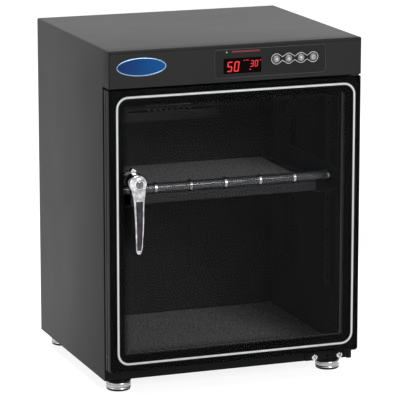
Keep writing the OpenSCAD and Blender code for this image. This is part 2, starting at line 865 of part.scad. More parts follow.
// A screw whose head stands on the plane z = 0, with its shank below
module screw() {
    slot = screw_r / 2;
    difference() {
        union() {
            cylinder(r = screw_head_r, h = screw_head_h);
            translate([0, 0, -screw_len])
                cylinder(r = screw_r, h = screw_len);
        }
        for (turn = [0, 90])
            rotate([0, 0, turn])
                translate([-screw_head_r / 2, -slot / 2, screw_head_h / 2])
                    cube([screw_head_r, slot, screw_head_h]);
    }
}

module screws() {
    color("#cfcfd2") {
        for (x = bottom_screw_xs)
            translate([x, recess - bracket_t + row_y, bottom_screw_z])
                rotate([90, 0, 0])
                    screw();
        for (x = top_screw_xs)
            translate([x, top_screw_y + row_y, header_z + sheet_t])
                screw();
        for (x = [-cover_screw_x, cover_screw_x], z = [-cover_screw_z, cover_screw_z])
            translate([x, body_d + bracket_t + row_y, unit_mid + z])
                rotate([-90, 0, 0])
                    screw();
    }
}

// Feet: a turning steel foot on a stud, its rubber pad, and the collar and nut above it
foot_xs = [foot_side - side_x, side_x - foot_side];
foot_ys = [recess + foot_front, body_d - foot_back];
foot_top = foot_h - collar_h - gap;
nut_r = 1.7 * stud_r;
nut_h = collar_h * 3 / 4;
rib_h = (foot_top - pad_h) / 5;
rib_d = gap;

module foot(x, y) {
    color("#b8b8bc") {
        difference() {
            rod_z(x, y, [pad_h, foot_top], foot_r);
            for (i = [1, 3])
                difference() {
                    rod_z(x, y, [pad_h + i * rib_h, pad_h + (i + 1) * rib_h], foot_r + over);
                    rod_z(x, y, [pad_h, foot_top], foot_r - rib_d);
                }
        }
        rod_z(x, y, [foot_top, base_top - gap], stud_r);
    }
}

module pad(x, y) {
    color("#0c0c0c") rod_z(x, y, [0, pad_h], pad_r);
}

module foot_front_left() foot(foot_xs[0], foot_ys[0]);

module foot_front_right() foot(foot_xs[1], foot_ys[0]);

module foot_rear_left() foot(foot_xs[0], foot_ys[1]);

module foot_rear_right() foot(foot_xs[1], foot_ys[1]);

module pad_front_left() pad(foot_xs[0], foot_ys[0]);

module pad_front_right() pad(foot_xs[1], foot_ys[0]);

module pad_rear_left() pad(foot_xs[0], foot_ys[1]);

module pad_rear_right() pad(foot_xs[1], foot_ys[1]);

module foot_collars() {
    color("#101010")
        for (x = foot_xs, y = foot_ys)
            difference() {
                rod_z(x, y, [foot_h - collar_h, foot_h], collar_r);
                rod_z(x, y, [foot_h - collar_h - over, foot_h + over], nut_r + gap);
            }
}

module foot_nuts() {
    color("#9a9a9e")
        for (x = foot_xs, y = foot_ys)
            difference() {
                rod_z(x, y, [foot_h - nut_h, foot_h], nut_r, $fn = 6);
                rod_z(x, y, [foot_h - nut_h - over, foot_h + over], stud_r + play);
            }
}

// Door: the glass with its printed border, four profiles behind it and the seal
handle_x = handle_side - side_x;
handle_h = foot_h + handle_z;
neck_gap = gap / 2;
groove_y = [frame_y + (frame_t - groove_w) / 2, frame_y + (frame_t + groove_w) / 2];

module door_glass() {
    color("#2b2f33", 0.35)
        difference() {
            block([-side_x, side_x], [0, glass_t], [door_bottom, door_top]);
            rod_y(handle_x, [-over, glass_t + over], handle_h, neck_r + neck_gap);
        }
}

module door_print() {
    color("#050505")
        difference() {
            block([-side_x, side_x], [glass_t, frame_y], [door_bottom, door_top]);
            round_plate([border_w - side_x, side_x - border_w], [glass_t - over, frame_y + over],
                [door_bottom + border_w, door_top - border_w], border_r);
        }
}

module side_grooves() {
    for (x = [[-side_x - over, groove_d - side_x], [side_x - groove_d, side_x + over]])
        block(x, groove_y, [door_bottom - over, door_top + over]);
}

module door_stile(x) {
    color("#333336")
        difference() {
            block(x, [frame_y, gasket_y], [door_bottom + frame_w, door_top - frame_w]);
            side_grooves();
        }
}

module door_left_stile() door_stile([-side_x, frame_w - side_x]);

module door_right_stile() door_stile([side_x - frame_w, side_x]);

module door_rail(z, bush_z) {
    color("#333336")
        difference() {
            block([-side_x, side_x], [frame_y, gasket_y], z);
            side_grooves();
            rod_z(hinge_x, hinge_depth, bush_z, bush_r);
        }
}

module door_top_rail() door_rail([door_top - frame_w, door_top], [door_top - bush_len, door_top + over]);

module door_bottom_rail() {
    door_rail([door_bottom, door_bottom + frame_w], [door_bottom - over, door_bottom + bush_len]);
}

module door_gasket() {
    outer = side_x - gasket_inset;
    inner = outer - gasket_w;
    color("#1a1a1a")
        difference() {
            block([-outer, outer], [gasket_y, gasket_y + gasket_t],
                [door_bottom + gasket_inset, door_top - gasket_inset]);
            block([-inner, inner], [gasket_y - over, gasket_y + gasket_t + over],
                [door_bottom + gasket_inset + gasket_w, door_top - gasket_inset - gasket_w]);
        }
}

// Handle: a base and nut clamped through the glass, the lever on its spindle, the cam and the lock
base_out = lever_reach - head_d;
base_r = head_r - spindle_r / 4; // the base lies a little inside the lever's head
clamp_t = glass_t;
clamp_r = neck_r + spindle_r * 3 / 4; // radius of the nut's corners
cam_hub_r = 2 * spindle_r;
stop_w = head_r / 2; // side of the square stop on top of the base
stop_turn = 35; // how the stop is turned, in degrees
neck_y = glass_t + clamp_t + print_t;

module handle_base() {
    color("#c9c9cc")
        difference() {
            union() {
                rod_y(handle_x, [gap - base_out, 0], handle_h, base_r);
                rod_y(handle_x, [0, neck_y], handle_h, neck_r);
                translate([handle_x - stop_w / 2, row_y, handle_h + base_r + stop_w / 2])
                    rotate([0, stop_turn, 0])
                        translate([-stop_w / 2, gap - base_out, -stop_w / 2])
                            cube([stop_w, base_out - gap, stop_w]);
            }
            rod_y(handle_x, [-base_out - over, neck_y + over], handle_h, spindle_r + play);
        }
}

module handle_nut() {
    color("#9a9a9e")
        difference() {
            rod_y(handle_x, [glass_t, glass_t + clamp_t], handle_h, clamp_r, $fn = 6);
            rod_y(handle_x, [glass_t - over, glass_t + clamp_t + over], handle_h, neck_r);
        }
}

module arm_front() {
    translate([handle_x, over, handle_h])
        rotate([90, 0, 0])
            linear_extrude(height = front_reach + 2 * over)
                polygon([
                    [-arm_top_w / 2, 0], [-arm_tip_w / 2, -arm_len], [arm_tip_w / 2, -arm_len],
                    [arm_top_w / 2, 0]
                ]);
}

arm_mid_share = 0.5; // where the arm bows most, as a share of its length

module arm_side() {
    mid_z = -arm_len * arm_mid_share;
    front = -lever_reach;
    translate([handle_x - arm_top_w, 0, handle_h])
        rotate([90, 0, 90])
            linear_extrude(height = 2 * arm_top_w)
                polygon([
                    [front, 0], [front - arm_bow, mid_z], [front + arm_tip_set, -arm_len],
                    [front + arm_tip_set + arm_t, -arm_len], [front - arm_bow + arm_t, mid_z],
                    [front + arm_t, 0]
                ]);
}

module handle_lever() {
    color("#d2d2d5")
        difference() {
            union() {
                rod_y(handle_x, [-lever_reach, -base_out], handle_h, head_r);
                rod_y(handle_x, [-base_out, spindle_back], handle_h, spindle_r);
                translate([0, row_y, 0])
                    intersection() {
                        arm_front();
                        arm_side();
                    }
            }
            rod_y(handle_x, [-front_reach - over, lock_len + gap - lever_reach], handle_h,
                lock_r + play);
        }
}

module latch_cam() {
    color("#a8a8ac")
        difference() {
            union() {
                block([cam_gap - opening_x, handle_x], cam_y, [handle_h - cam_w / 2, handle_h + cam_w / 2]);
                rod_y(handle_x, cam_y, handle_h, cam_hub_r);
            }
            rod_y(handle_x, [cam_y[0] - over, cam_y[1] + over], handle_h, spindle_r);
        }
}

module lock_cylinder() {
    key_w = lock_r / 4;
    lock_y = [-lever_reach - gap, lock_len - lever_reach];
    color("#8e8e92")
        difference() {
            rod_y(handle_x, lock_y, handle_h, lock_r);
            block([handle_x - key_w / 2, handle_x + key_w / 2], [lock_y[0] - over, lock_y[0] + lock_r],
                [handle_h - lock_r / 2, handle_h + lock_r / 2]);
        }
}

left_side_panel();
right_side_panel();
header_cheeks();
top_panel();
base_panel();
back_panel();
front_frame();
bottom_rail();
header_floor();
header_fascia();
control_overlay();
display_window();
display_digits();
control_board();
nameplate();
shelf_standards();
tray_rails();
floor_mat();
dehumidifier_housing();
cold_sink();
cooling_module();
hot_sink();
rear_vent_cover();
power_inlet();
humidity_sensor();
wiring_harness();
top_hinge_bracket();
bottom_hinge_bracket();
screws();
foot_collars();
foot_nuts();
door_glass();
door_print();
door_left_stile();
door_right_stile();
door_top_rail();
door_bottom_rail();
door_gasket();
hinge_bushes();
handle_base();
handle_nut();
handle_lever();
latch_cam();
lock_cylinder();
tray();
tray_mat();
tray_bar();
bar_rings();
mode_button();
up_button();
down_button();
power_button();
foot_front_left();
foot_front_right();
foot_rear_left();
foot_rear_right();
pad_front_left();
pad_front_right();
pad_rear_left();
pad_rear_right();
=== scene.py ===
# %% [markdown]
# A dry cabinet for cameras and lenses: a black steel box with a glass door, a chrome lever, a lit
# control panel and levelling feet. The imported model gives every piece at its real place, in metres.
# This script gives those pieces their rounded edges, their finishes and the parts that only show in
# the looks, then sets up a plain studio around them.
#
# Most pieces of a cabinet like this are folded sheets and turned or moulded parts, so most cells
# below follow the same steps: start a bmesh from a simple shape, move, bevel or spin it, and hand it
# to the body that it moves with.

import json
import math

import bmesh
import bpy
from bmesh.types import BMEdge, BMFace, BMVert
from mathutils import Matrix, Vector

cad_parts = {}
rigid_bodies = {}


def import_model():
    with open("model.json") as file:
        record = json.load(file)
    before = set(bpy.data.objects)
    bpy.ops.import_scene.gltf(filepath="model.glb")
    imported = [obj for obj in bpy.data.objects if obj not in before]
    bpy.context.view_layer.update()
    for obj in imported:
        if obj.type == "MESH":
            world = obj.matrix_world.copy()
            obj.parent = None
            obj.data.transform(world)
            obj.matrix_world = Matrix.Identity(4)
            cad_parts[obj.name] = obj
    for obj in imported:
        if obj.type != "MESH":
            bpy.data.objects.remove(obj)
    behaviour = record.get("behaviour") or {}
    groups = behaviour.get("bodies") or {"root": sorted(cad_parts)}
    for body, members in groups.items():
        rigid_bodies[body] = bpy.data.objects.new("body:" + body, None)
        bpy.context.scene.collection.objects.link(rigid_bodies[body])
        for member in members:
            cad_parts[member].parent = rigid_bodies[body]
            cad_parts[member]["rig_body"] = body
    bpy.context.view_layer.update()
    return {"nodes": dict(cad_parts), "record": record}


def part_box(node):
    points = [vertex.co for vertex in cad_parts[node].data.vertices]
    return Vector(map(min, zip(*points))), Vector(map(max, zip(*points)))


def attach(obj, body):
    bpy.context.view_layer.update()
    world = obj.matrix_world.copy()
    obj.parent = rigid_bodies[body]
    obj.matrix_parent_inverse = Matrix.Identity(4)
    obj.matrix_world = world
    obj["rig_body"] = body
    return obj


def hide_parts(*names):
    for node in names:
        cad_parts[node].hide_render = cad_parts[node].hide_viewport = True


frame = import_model()
BODY_OF = {name: node["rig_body"] for name, node in frame["nodes"].items()}
SLOT_OF = {part["node"]: part["material_slot"] for part in frame["record"]["subparts"]}
MM = 0.001


def middle(node):
    """The middle of a node's box at rest."""
    lo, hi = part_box(node)
    return (lo + hi) / 2


# %% [markdown]
# A surface is never one flat colour. Powder coat has a fine orange-peel grain, brushed steel has
# lines along one direction, and foam has light and dark cells. All of them are patterns on Object
# coordinates, in metres, so a scale of 1000 gives features about a millimetre across. A few short
# helpers put such a pattern on a material's colour, roughness and bump.

# %% Helpers for finishes
def plain(name, colour, roughness, metallic=0.0):
    """A material with one colour, and its shader, ready for a pattern."""
    material = bpy.data.materials.new(name)
    material.use_nodes = True
    shader = material.node_tree.nodes["Principled BSDF"]
    shader.inputs["Base Color"].default_value = (*colour, 1)
    shader.inputs["Roughness"].default_value = roughness
    shader.inputs["Metallic"].default_value = metallic
    return material, shader


def pattern(shader, kind, scale, stretch=(1, 1, 1), detail=3.0):
    """A noise or cell texture on Object coordinates, stretched along an axis where it is brushed."""
    tree = shader.id_data
    place = tree.nodes.new("ShaderNodeTexCoord")
    mapping = tree.nodes.new("ShaderNodeMapping")
    texture = tree.nodes.new(kind)
    mapping.inputs["Scale"].default_value = stretch
    texture.inputs["Scale"].default_value = scale
    if "Detail" in texture.inputs:
        texture.inputs["Detail"].default_value = detail
    tree.links.new(place.outputs["Object"], mapping.inputs["Vector"])
    tree.links.new(mapping.outputs["Vector"], texture.inputs["Vector"])
    return texture


def tint(shader, value, stops):
    """Colours the surface by a texture's value, through (position, colour) stops."""
    tree = shader.id_data
    ramp = tree.nodes.new("ShaderNodeValToRGB")
    for element, (position, colour) in zip(ramp.color_ramp.elements, (stops[0], stops[-1])):
        element.position = position
        element.color = (*colour, 1)
    for position, colour in stops[1:-1]:
        ramp.color_ramp.elements.new(position).color = (*colour, 1)
    tree.links.new(value, ramp.inputs["Fac"])
    tree.links.new(ramp.outputs["Color"], shader.inputs["Base Color"])


def vary_gloss(shader, value, low, high):
    """Lets the roughness drift between two values."""
    tree = shader.id_data
    spread = tree.nodes.new("ShaderNodeMapRange")
    spread.inputs["To Min"].default_value = low
    spread.inputs["To Max"].default_value = high
    tree.links.new(value, spread.inputs["Value"])
    tree.links.new(spread.outputs["Result"], shader.inputs["Roughness"])


def raise_grain(shader, value, depth, strength=1.0):
    """Raises the surface by a texture's value, up to a depth in metres."""
    tree = shader.id_data
    bump = tree.nodes.new("ShaderNodeBump")
    bump.inputs["Distance"].default_value = depth
    bump.inputs["Strength"].default_value = strength
    tree.links.new(value, bump.inputs["Height"])
    tree.links.new(bump.outputs["Normal"], shader.inputs["Normal"])


def shade(colour, factor):
    return tuple(min(1.0, c * factor) for c in colour)


# %% [markdown]
# Paint and moulded plastic share one recipe: a broad, faint mottle that keeps large faces from
# looking computed, and a fine grain in the bump. Powder coat has rounder, larger bumps than a
# moulded part, and most of the black parts are set to reflect little.

# %% Paint, plastic and rubber
COAT_GRAIN = 900
MOULD_GRAIN = 2200
MOTTLE = 14
GLOSS_DRIFT = 0.06


def coated(name, colour, gloss, grain=COAT_GRAIN, depth=0.00008, mottle=0.12, shine=0.5):
    material, shader = plain(name, colour, gloss)
    shader.inputs["Specular IOR Level"].default_value = shine
    broad = pattern(shader, "ShaderNodeTexNoise", MOTTLE, detail=4)
    fine = pattern(shader, "ShaderNodeTexNoise", grain, detail=2)
    tint(shader, broad.outputs["Fac"], [(0.3, shade(colour, 1 - mottle)), (0.7, shade(colour, 1 + mottle))])
    vary_gloss(shader, broad.outputs["Fac"], gloss - GLOSS_DRIFT, gloss + GLOSS_DRIFT)
    raise_grain(shader, fine.outputs["Fac"], depth)
    return material


def moulded(name, colour, gloss, shine=0.5):
    return coated(name, colour, gloss, MOULD_GRAIN, depth=0.00004, mottle=0.08, shine=shine)


PAINTS = {
    # name: (colour, gloss, shine)
    "cabinet_paint": ((0.034, 0.034, 0.035), 0.5, 0.1),
    "black_paint": ((0.0045, 0.0045, 0.005), 0.45, 0.1),
    # header_paint is the cabinet's paint made darker: painted shade on the front faces, which get less light
    # than the sides
    "header_paint": ((0.012, 0.012, 0.0125), 0.45, 0.2),
    "black_steel": ((0.014, 0.014, 0.015), 0.38, 0.3),
}
MOULDINGS = {
    # name: (colour, gloss, shine)
    "panel_film": ((0.0085, 0.0085, 0.0095), 0.3, 0.2),
    "black_plastic": ((0.012, 0.012, 0.012), 0.45, 0.5),
    "white_plastic": ((0.62, 0.62, 0.6), 0.4, 0.5),
    "profile_plastic": ((0.0055, 0.0055, 0.006), 0.4, 0.05),
    "bush_plastic": ((0.5, 0.47, 0.36), 0.4, 0.5),
    "collar_plastic": ((0.004, 0.004, 0.004), 0.25, 0.08),
    "seal_rubber": ((0.006, 0.006, 0.006), 0.6, 0.15),
    "pad_rubber": ((0.004, 0.004, 0.004), 0.55, 0.1),
    "wire_sleeve": ((0.02, 0.02, 0.022), 0.5, 0.5),
    "ceramic": ((0.78, 0.78, 0.74), 0.35, 0.5),
    "black_enamel": ((0.0012, 0.0012, 0.0013), 0.3, 0.03),
}
FINISH = {}
for name, (colour, gloss, shine) in PAINTS.items():
    FINISH[name] = coated(name, colour, gloss, shine=shine)
for name, (colour, gloss, shine) in MOULDINGS.items():
    FINISH[name] = moulded(name, colour, gloss, shine)

# %% [markdown]
# Metal takes its look from what it reflects, so its pattern is mostly in the roughness. Brushed
# and extruded metal has its noise stretched into lines, turned metal has rings across its axis, and
# polished chrome has only the faintest waviness. Chrome here is darker than a mirror, because a
# mirror in a white room turns white all over and loses its shape.

# %% Metal
def metal(name, colour, gloss, stretch=(1, 1, 1), scale=400, swing=0.08, depth=0.00001, tone=0.1):
    material, shader = plain(name, colour, gloss, metallic=1.0)
    lines = pattern(shader, "ShaderNodeTexNoise", scale, stretch=stretch, detail=4)
    tint(shader, lines.outputs["Fac"], [(0.35, shade(colour, 1 - tone)), (0.65, shade(colour, 1 + tone))])
    vary_gloss(shader, lines.outputs["Fac"], max(0.02, gloss - swing), gloss + swing)
    raise_grain(shader, lines.outputs["Fac"], depth)
    return material


RINGS = (1, 1, 30)
ALONG_Z = (20, 20, 1)
FINISH.update({
    "bright_steel": metal("bright_steel", (0.66, 0.66, 0.67), 0.26),
    "foot_steel": metal("foot_steel", (0.42, 0.42, 0.425), 0.24, stretch=RINGS, scale=120),
    "sink_aluminium": metal("sink_aluminium", (0.62, 0.63, 0.65), 0.34, stretch=ALONG_Z, scale=60),
    "handle_chrome": metal("handle_chrome", (0.5, 0.5, 0.51), 0.1, scale=90, swing=0.03, tone=0.45),
    "button_chrome": metal("button_chrome", (0.2, 0.2, 0.205), 0.34, scale=700),
})

# %% [markdown]
# The floor mat and the tray's mat are open-cell foam: dark, with pale specks where cut cell walls
# catch the light. A cell texture gives the specks and a fine noise gives the nap between them.

# %% Foam
foam, foam_shader = plain("foam", (0.03, 0.03, 0.032), 0.9)
cells = pattern(foam_shader, "ShaderNodeTexVoronoi", 420)
nap = pattern(foam_shader, "ShaderNodeTexNoise", 330, detail=8)
foam_shader.inputs["Sheen Weight"].default_value = 0.3
tint(foam_shader, nap.outputs["Fac"],
     [(0.4, (0.018, 0.018, 0.02)), (0.5, (0.05, 0.05, 0.054)), (0.62, (0.3, 0.3, 0.31))])
raise_grain(foam_shader, cells.outputs["Distance"], 0.0006, strength=0.7)
FINISH["foam"] = foam

# %% [markdown]
# Glass and the acrylic grip bar let what is behind them through. Their see-through share is a plain
# alpha value on the shader, which is the form that survives an export, and a faint smear in the
# roughness keeps them from being perfect. The display's window is so dark that it is simply a glossy
# black, and printed colours are thin coats with hardly any grain.

# %% See-through, lit and printed finishes
def see_through(name, colour, alpha, gloss, shine):
    material, shader = plain(name, colour, gloss)
    smear = pattern(shader, "ShaderNodeTexNoise", 9, detail=5)
    vary_gloss(shader, smear.outputs["Fac"], gloss, gloss + 0.05)
    shader.inputs["Alpha"].default_value = alpha
    shader.inputs["Specular IOR Level"].default_value = shine
    return material


def lit(name, colour, strength):
    material, shader = plain(name, shade(colour, 0.5), 0.4)
    glow = pattern(shader, "ShaderNodeTexNoise", 500)
    tint(shader, glow.outputs["Fac"], [(0.3, shade(colour, 0.4)), (0.7, shade(colour, 0.6))])
    shader.inputs["Emission Color"].default_value = (*colour, 1)
    shader.inputs["Emission Strength"].default_value = strength
    return material


def ink(name, colour, gloss, mottle=0.05, shine=0.5):
    return coated(name, colour, gloss, MOULD_GRAIN, depth=0.00001, mottle=mottle, shine=shine)


FINISH["glass"] = see_through("glass", (0.003, 0.0035, 0.0035), 0.14, gloss=0.04, shine=0.25)
FINISH["smoked_bar"] = see_through("smoked_bar", (0.06, 0.064, 0.075), 0.75, gloss=0.06, shine=0.9)
FINISH["smoked_window"] = ink("window_black", (0.0035, 0.001, 0.001), 0.18, mottle=0.12, shine=0.03)
FINISH["lit_red"] = lit("lit_red", (0.8, 0.02, 0.03), 0.8)
GLASS_EDGE = moulded("glass_edge", (0.003, 0.0045, 0.004), 0.25, shine=0.02)
LAMP_GREEN = lit("lamp_green", (0.15, 0.6, 0.15), 0.6)
PRINT_SILVER = ink("print_silver", (0.9, 0.9, 0.9), 0.35, mottle=0.03)
PRINT_WHITE = ink("print_white", (0.78, 0.78, 0.78), 0.45)
PRINT_GREY = ink("print_grey", (0.05, 0.05, 0.052), 0.4)
PRINT_RED = ink("print_red", (0.28, 0.012, 0.014), 0.4)
ICON_WHITE = ink("icon_white", (0.95, 0.95, 0.95), 0.45, mottle=0.02)

# %% [markdown]
# A circuit board is green varnish over copper: a brick texture at a few millimetres stands for the
# traces and pads.

# %% Circuit board
board, board_shader = plain("circuit", (0.015, 0.1, 0.04), 0.35)
traces = pattern(board_shader, "ShaderNodeTexBrick", 120)
traces.inputs["Color1"].default_value = (0.012, 0.085, 0.034, 1)
traces.inputs["Color2"].default_value = (0.018, 0.115, 0.046, 1)
traces.inputs["Mortar"].default_value = (0.05, 0.2, 0.09, 1)
board_shader.id_data.links.new(traces.outputs["Color"], board_shader.inputs["Base Color"])
raise_grain(board_shader, traces.outputs["Fac"], 0.00005)
FINISH["circuit"] = board
print(len(bpy.data.materials), "finishes")


# %% [markdown]
# Every new piece ends the same way: its normals are put right, it becomes an object at the origin
# with its place in its mesh, its gentle edges are shaded smooth, it is told which body it rides on,
# it takes the finish of its slot, and the CAD nodes it stands for are hidden.

# %% Helper that finishes a piece
SMOOTH_BELOW = math.radians(35)


def make_piece(bm, name, body, slot, stands_for=(), material=None, recalc=True):
    if recalc:
        bmesh.ops.recalc_face_normals(bm, faces=bm.faces[:])
    mesh = bpy.data.meshes.new(name)
    bm.to_mesh(mesh)
    bm.free()
    mesh.materials.append(material or FINISH[slot])
    for polygon in mesh.polygons:
        polygon.use_smooth = True
    mesh.set_sharp_from_angle(angle=SMOOTH_BELOW)
    piece = bpy.data.objects.new(name, mesh)
    bpy.context.scene.collection.objects.link(piece)
    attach(piece, body)
    if stands_for:
        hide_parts(*stands_for)
    return piece


def flat_faces_stay_flat(piece):
    """Lets the large flat faces set the normals, so that only the bevels shade round."""
    weighted = piece.modifiers.new("Flat faces", "WEIGHTED_NORMAL")
    weighted.keep_sharp = True
    return piece


def edges_sharper_than(bm, degrees=40):
    limit = math.radians(degrees)
    return [e for e in bm.edges if len(e.link_faces) == 2 and e.calc_face_angle(0) > limit]


def bevel(bm, edges, radius, segments=2):
    bmesh.ops.bevel(bm, geom=edges, offset=radius, offset_type="OFFSET", segments=segments,
                    profile=0.5, affect="EDGES", clamp_overlap=True, material=-1)


def only(kind, made):
    """The vertices, edges or faces among what a bmesh operator made."""
    return [item for item in made if isinstance(item, kind)]


def add_part(bm, part):
    """Adds a small bmesh to a larger one and frees it."""
    mesh = bpy.data.meshes.new("part")
    part.to_mesh(mesh)
    part.free()
    bm.from_mesh(mesh)
    bpy.data.meshes.remove(mesh)


# %% [markdown]
# No real edge is perfectly sharp: sheet steel is deburred, mouldings have a radius, and that thin
# rounded edge is what catches the light. For each rigid node whose shape is already right, a copy
# of its mesh is merged, its flat areas are made whole, and its corners are rounded by the radius
# that such a part has.

# %% Rounded copies of the rigid nodes
EASED_ABOVE = 32


def eased(node, radius):
    bm = bmesh.new()
    bm.from_mesh(frame["nodes"][node].data)
    bmesh.ops.remove_doubles(bm, verts=bm.verts[:], dist=1e-6)
    bmesh.ops.dissolve_limit(bm, angle_limit=math.radians(1), verts=bm.verts[:], edges=bm.edges[:])
    bevel(bm, edges_sharper_than(bm, EASED_ABOVE), radius)
    return flat_faces_stay_flat(make_piece(bm, f"{node}_eased", BODY_OF[node], SLOT_OF[node], [node]))


EDGE_RADIUS = {
    # in mm
    "base_panel": 0.3, "back_panel": 0.3, "front_frame": 0.4, "bottom_rail": 0.4, "header_floor": 0.3,
    "header_fascia": 0.35, "control_overlay": 0.15, "shelf_standards": 0.3, "tray_rails": 0.3,
    "dehumidifier_housing": 0.6, "cold_sink": 0.2, "cooling_module": 0.2, "hot_sink": 0.2,
    "rear_vent_cover": 0.5, "humidity_sensor": 0.5, "top_hinge_bracket": 0.35,
    "bottom_hinge_bracket": 0.4, "door_left_stile": 0.5, "door_right_stile": 0.5,
    "door_top_rail": 0.5, "door_bottom_rail": 0.5, "hinge_bushes": 0.3, "handle_base": 0.6,
    "handle_nut": 0.4, "latch_cam": 0.4, "tray": 0.4, "tray_bar": 0.6, "foot_nuts": 0.4,
}
for node, radius in EDGE_RADIUS.items():
    eased(node, radius * MM)
print(len(EDGE_RADIUS), "nodes with rounded edges")

# %% [markdown]
# The door's profiles get a pale grey on the side that faces the clear field of the glass, and it shows
# as a pale line beside the printed border: a painted highlight where that edge catches the light. The
# border is the imported node itself, and only its material slot gets the enamel.

# %% Painted highlight on the profiles, and the printed border
INWARD = {"door_right_stile": (-1, 0, 0), "door_left_stile": (1, 0, 0),
          "door_bottom_rail": (0, 0, 1), "door_top_rail": (0, 0, -1)}
# Painted highlight: the pale grey on the profiles' inward faces stands for light caught by that edge
painted_edge_highlight = coated("painted_edge_highlight", (0.5, 0.5, 0.5), 0.4)


def paint_faces(piece, material, chosen):
    """Gives a second material to the faces that a test chooses."""
    piece.data.materials.append(material)
    for polygon in piece.data.polygons:
        if chosen(polygon.normal):
            polygon.material_index = 1


for profile, inward in INWARD.items():
    paint_faces(bpy.data.objects[f"{profile}_eased"], painted_edge_highlight,
                lambda normal: normal.dot(Vector(inward)) > 0.8)
for kept in frame["nodes"]["door_print"].material_slots:
    kept.link = "OBJECT"
    kept.material = FINISH["black_enamel"]
print(len(INWARD), "profiles with a painted highlight")

# %% [markdown]
# The sides and the top of a cabinet like this are one sheet, folded down at both sides, so no joint
# shows where they meet. It is a row of points across the cabinet, drawn out from front to back, with
# its two long corners bevelled into bends. Below the header the door covers the front, so the sheet
# is cut back there, and then it gets its thickness.

# %% Folded cabinet sheet
top_lo, top_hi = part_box("top_panel")
side_lo, side_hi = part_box("left_side_panel")
sheet_t = side_hi.x - side_lo.x
BEND = 2.4 * MM
SHEET_EDGE = 0.3 * MM
header_z = side_hi.z

bm = bmesh.new()
path = [(top_lo.x, side_lo.z), (top_lo.x, header_z), (top_lo.x, top_hi.z),
        (top_hi.x, top_hi.z), (top_hi.x, header_z), (top_hi.x, side_lo.z)]
row = [bm.verts.new((x, top_lo.y, z)) for x, z in path]
for a, b in zip(row, row[1:]):
    bm.edges.new((a, b))
front_edges = bm.edges[:]
for back_y in (side_lo.y, top_hi.y):
    made = bmesh.ops.extrude_edge_only(bm, edges=front_edges)["geom"]
    moved = only(BMVert, made)
    front_edges = only(BMEdge, made)
    bmesh.ops.translate(bm, verts=moved, vec=(0, back_y - moved[0].co.y, 0))
centres = {f: f.calc_center_median() for f in bm.faces}
notch = [f for f, centre in centres.items() if centre.z < header_z and centre.y < side_lo.y]
bmesh.ops.delete(bm, geom=notch, context="FACES")
folds = [e for e in bm.edges if all(abs(v.co.z - top_hi.z) < 1e-6 for v in e.verts)
         and abs(e.verts[0].co.x - e.verts[1].co.x) < 1e-6]
bevel(bm, folds, BEND, segments=5)
top_face = max(bm.faces, key=lambda f: f.calc_center_median().z)
top_face.normal_update()
if top_face.normal.z < 0:
    bmesh.ops.reverse_faces(bm, faces=bm.faces[:])
wrap = make_piece(bm, "cabinet_sheet", "cabinet", "cabinet_paint",
                  ["left_side_panel", "right_side_panel", "header_cheeks", "top_panel"], recalc=False)
wall = wrap.modifiers.new("Wall", "SOLIDIFY")
wall.thickness = sheet_t
wall.offset = -1
rim = wrap.modifiers.new("Rim", "BEVEL")
rim.width = SHEET_EDGE
rim.segments = 2
rim.limit_method = "ANGLE"
rim.angle_limit = math.radians(50)
print("sheet", len(wrap.data.polygons), "faces before its thickness")


# %% [markdown]
# Small plates, blocks and printed marks all start as a cube that is stretched between two corners.
# Rounding the four edges that point forward gives a plate with round corners, and rounding the rest
# a little gives it a real edge.

# %% Helpers for plates and blocks
FACE_FRONT = Matrix.Rotation(math.radians(90), 4, "X")
FACE_BACK = Matrix.Rotation(math.radians(-90), 4, "X")


def add_block(bm, lo, hi):
    lo, hi = Vector(lo), Vector(hi)
    size = hi - lo
    place = Matrix.Translation((lo + hi) / 2) @ Matrix.Diagonal((*size, 1))
    return bmesh.ops.create_cube(bm, size=1, matrix=place)["verts"]


def edges_along(verts, axis):
    """The edges among these vertices that run along one axis."""
    found = {e for v in verts for e in v.link_edges}
    spans = {e: e.verts[0].co - e.verts[1].co for e in found}
    return [e for e, span in spans.items()
            if abs(span[axis]) > 1e-7 and span.length < abs(span[axis]) * 1.001]


def add_plate(bm, lo, hi, corner, segments=6, edge=0.0):
    verts = add_block(bm, lo, hi)
    faces = {f for v in verts for f in v.link_faces}
    before = set(bm.faces) - faces
    bevel(bm, edges_along(verts, 1), corner, segments)
    if edge:
        fresh = {e for f in set(bm.faces) - before for e in f.edges}
        bevel(bm, [e for e in fresh if e.calc_face_angle(0) > math.radians(50)], edge, 2)


# %% [markdown]
# The folded front lip of the top sheet shows as a thin band over the header's front.

# %% Top lip
fascia_lo, fascia_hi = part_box("header_fascia")
front_y = fascia_lo.y
LIP_PROUD = 0.15 * MM
LIP_ABOVE = 0.2 * MM
LIP_BELOW = 0.05 * MM
LIP_EDGE = 0.45 * MM
bm = bmesh.new()
add_block(bm, (fascia_lo.x, front_y - LIP_PROUD, fascia_hi.z + LIP_ABOVE),
          (fascia_hi.x, front_y + sheet_t, top_hi.z - LIP_BELOW))
bevel(bm, edges_sharper_than(bm), LIP_EDGE, 3)
# The lip takes the header's darker paint, which is painted shade on a front face
make_piece(bm, "top_lip", "cabinet", "header_paint", ["top_panel"])

# %% [markdown]
# The blank nameplate is a stamped oval: a bright rim around a field of blue enamel, which is deep on
# the left and lighter on the right. The field is the oval's own front face, inset and pressed back.

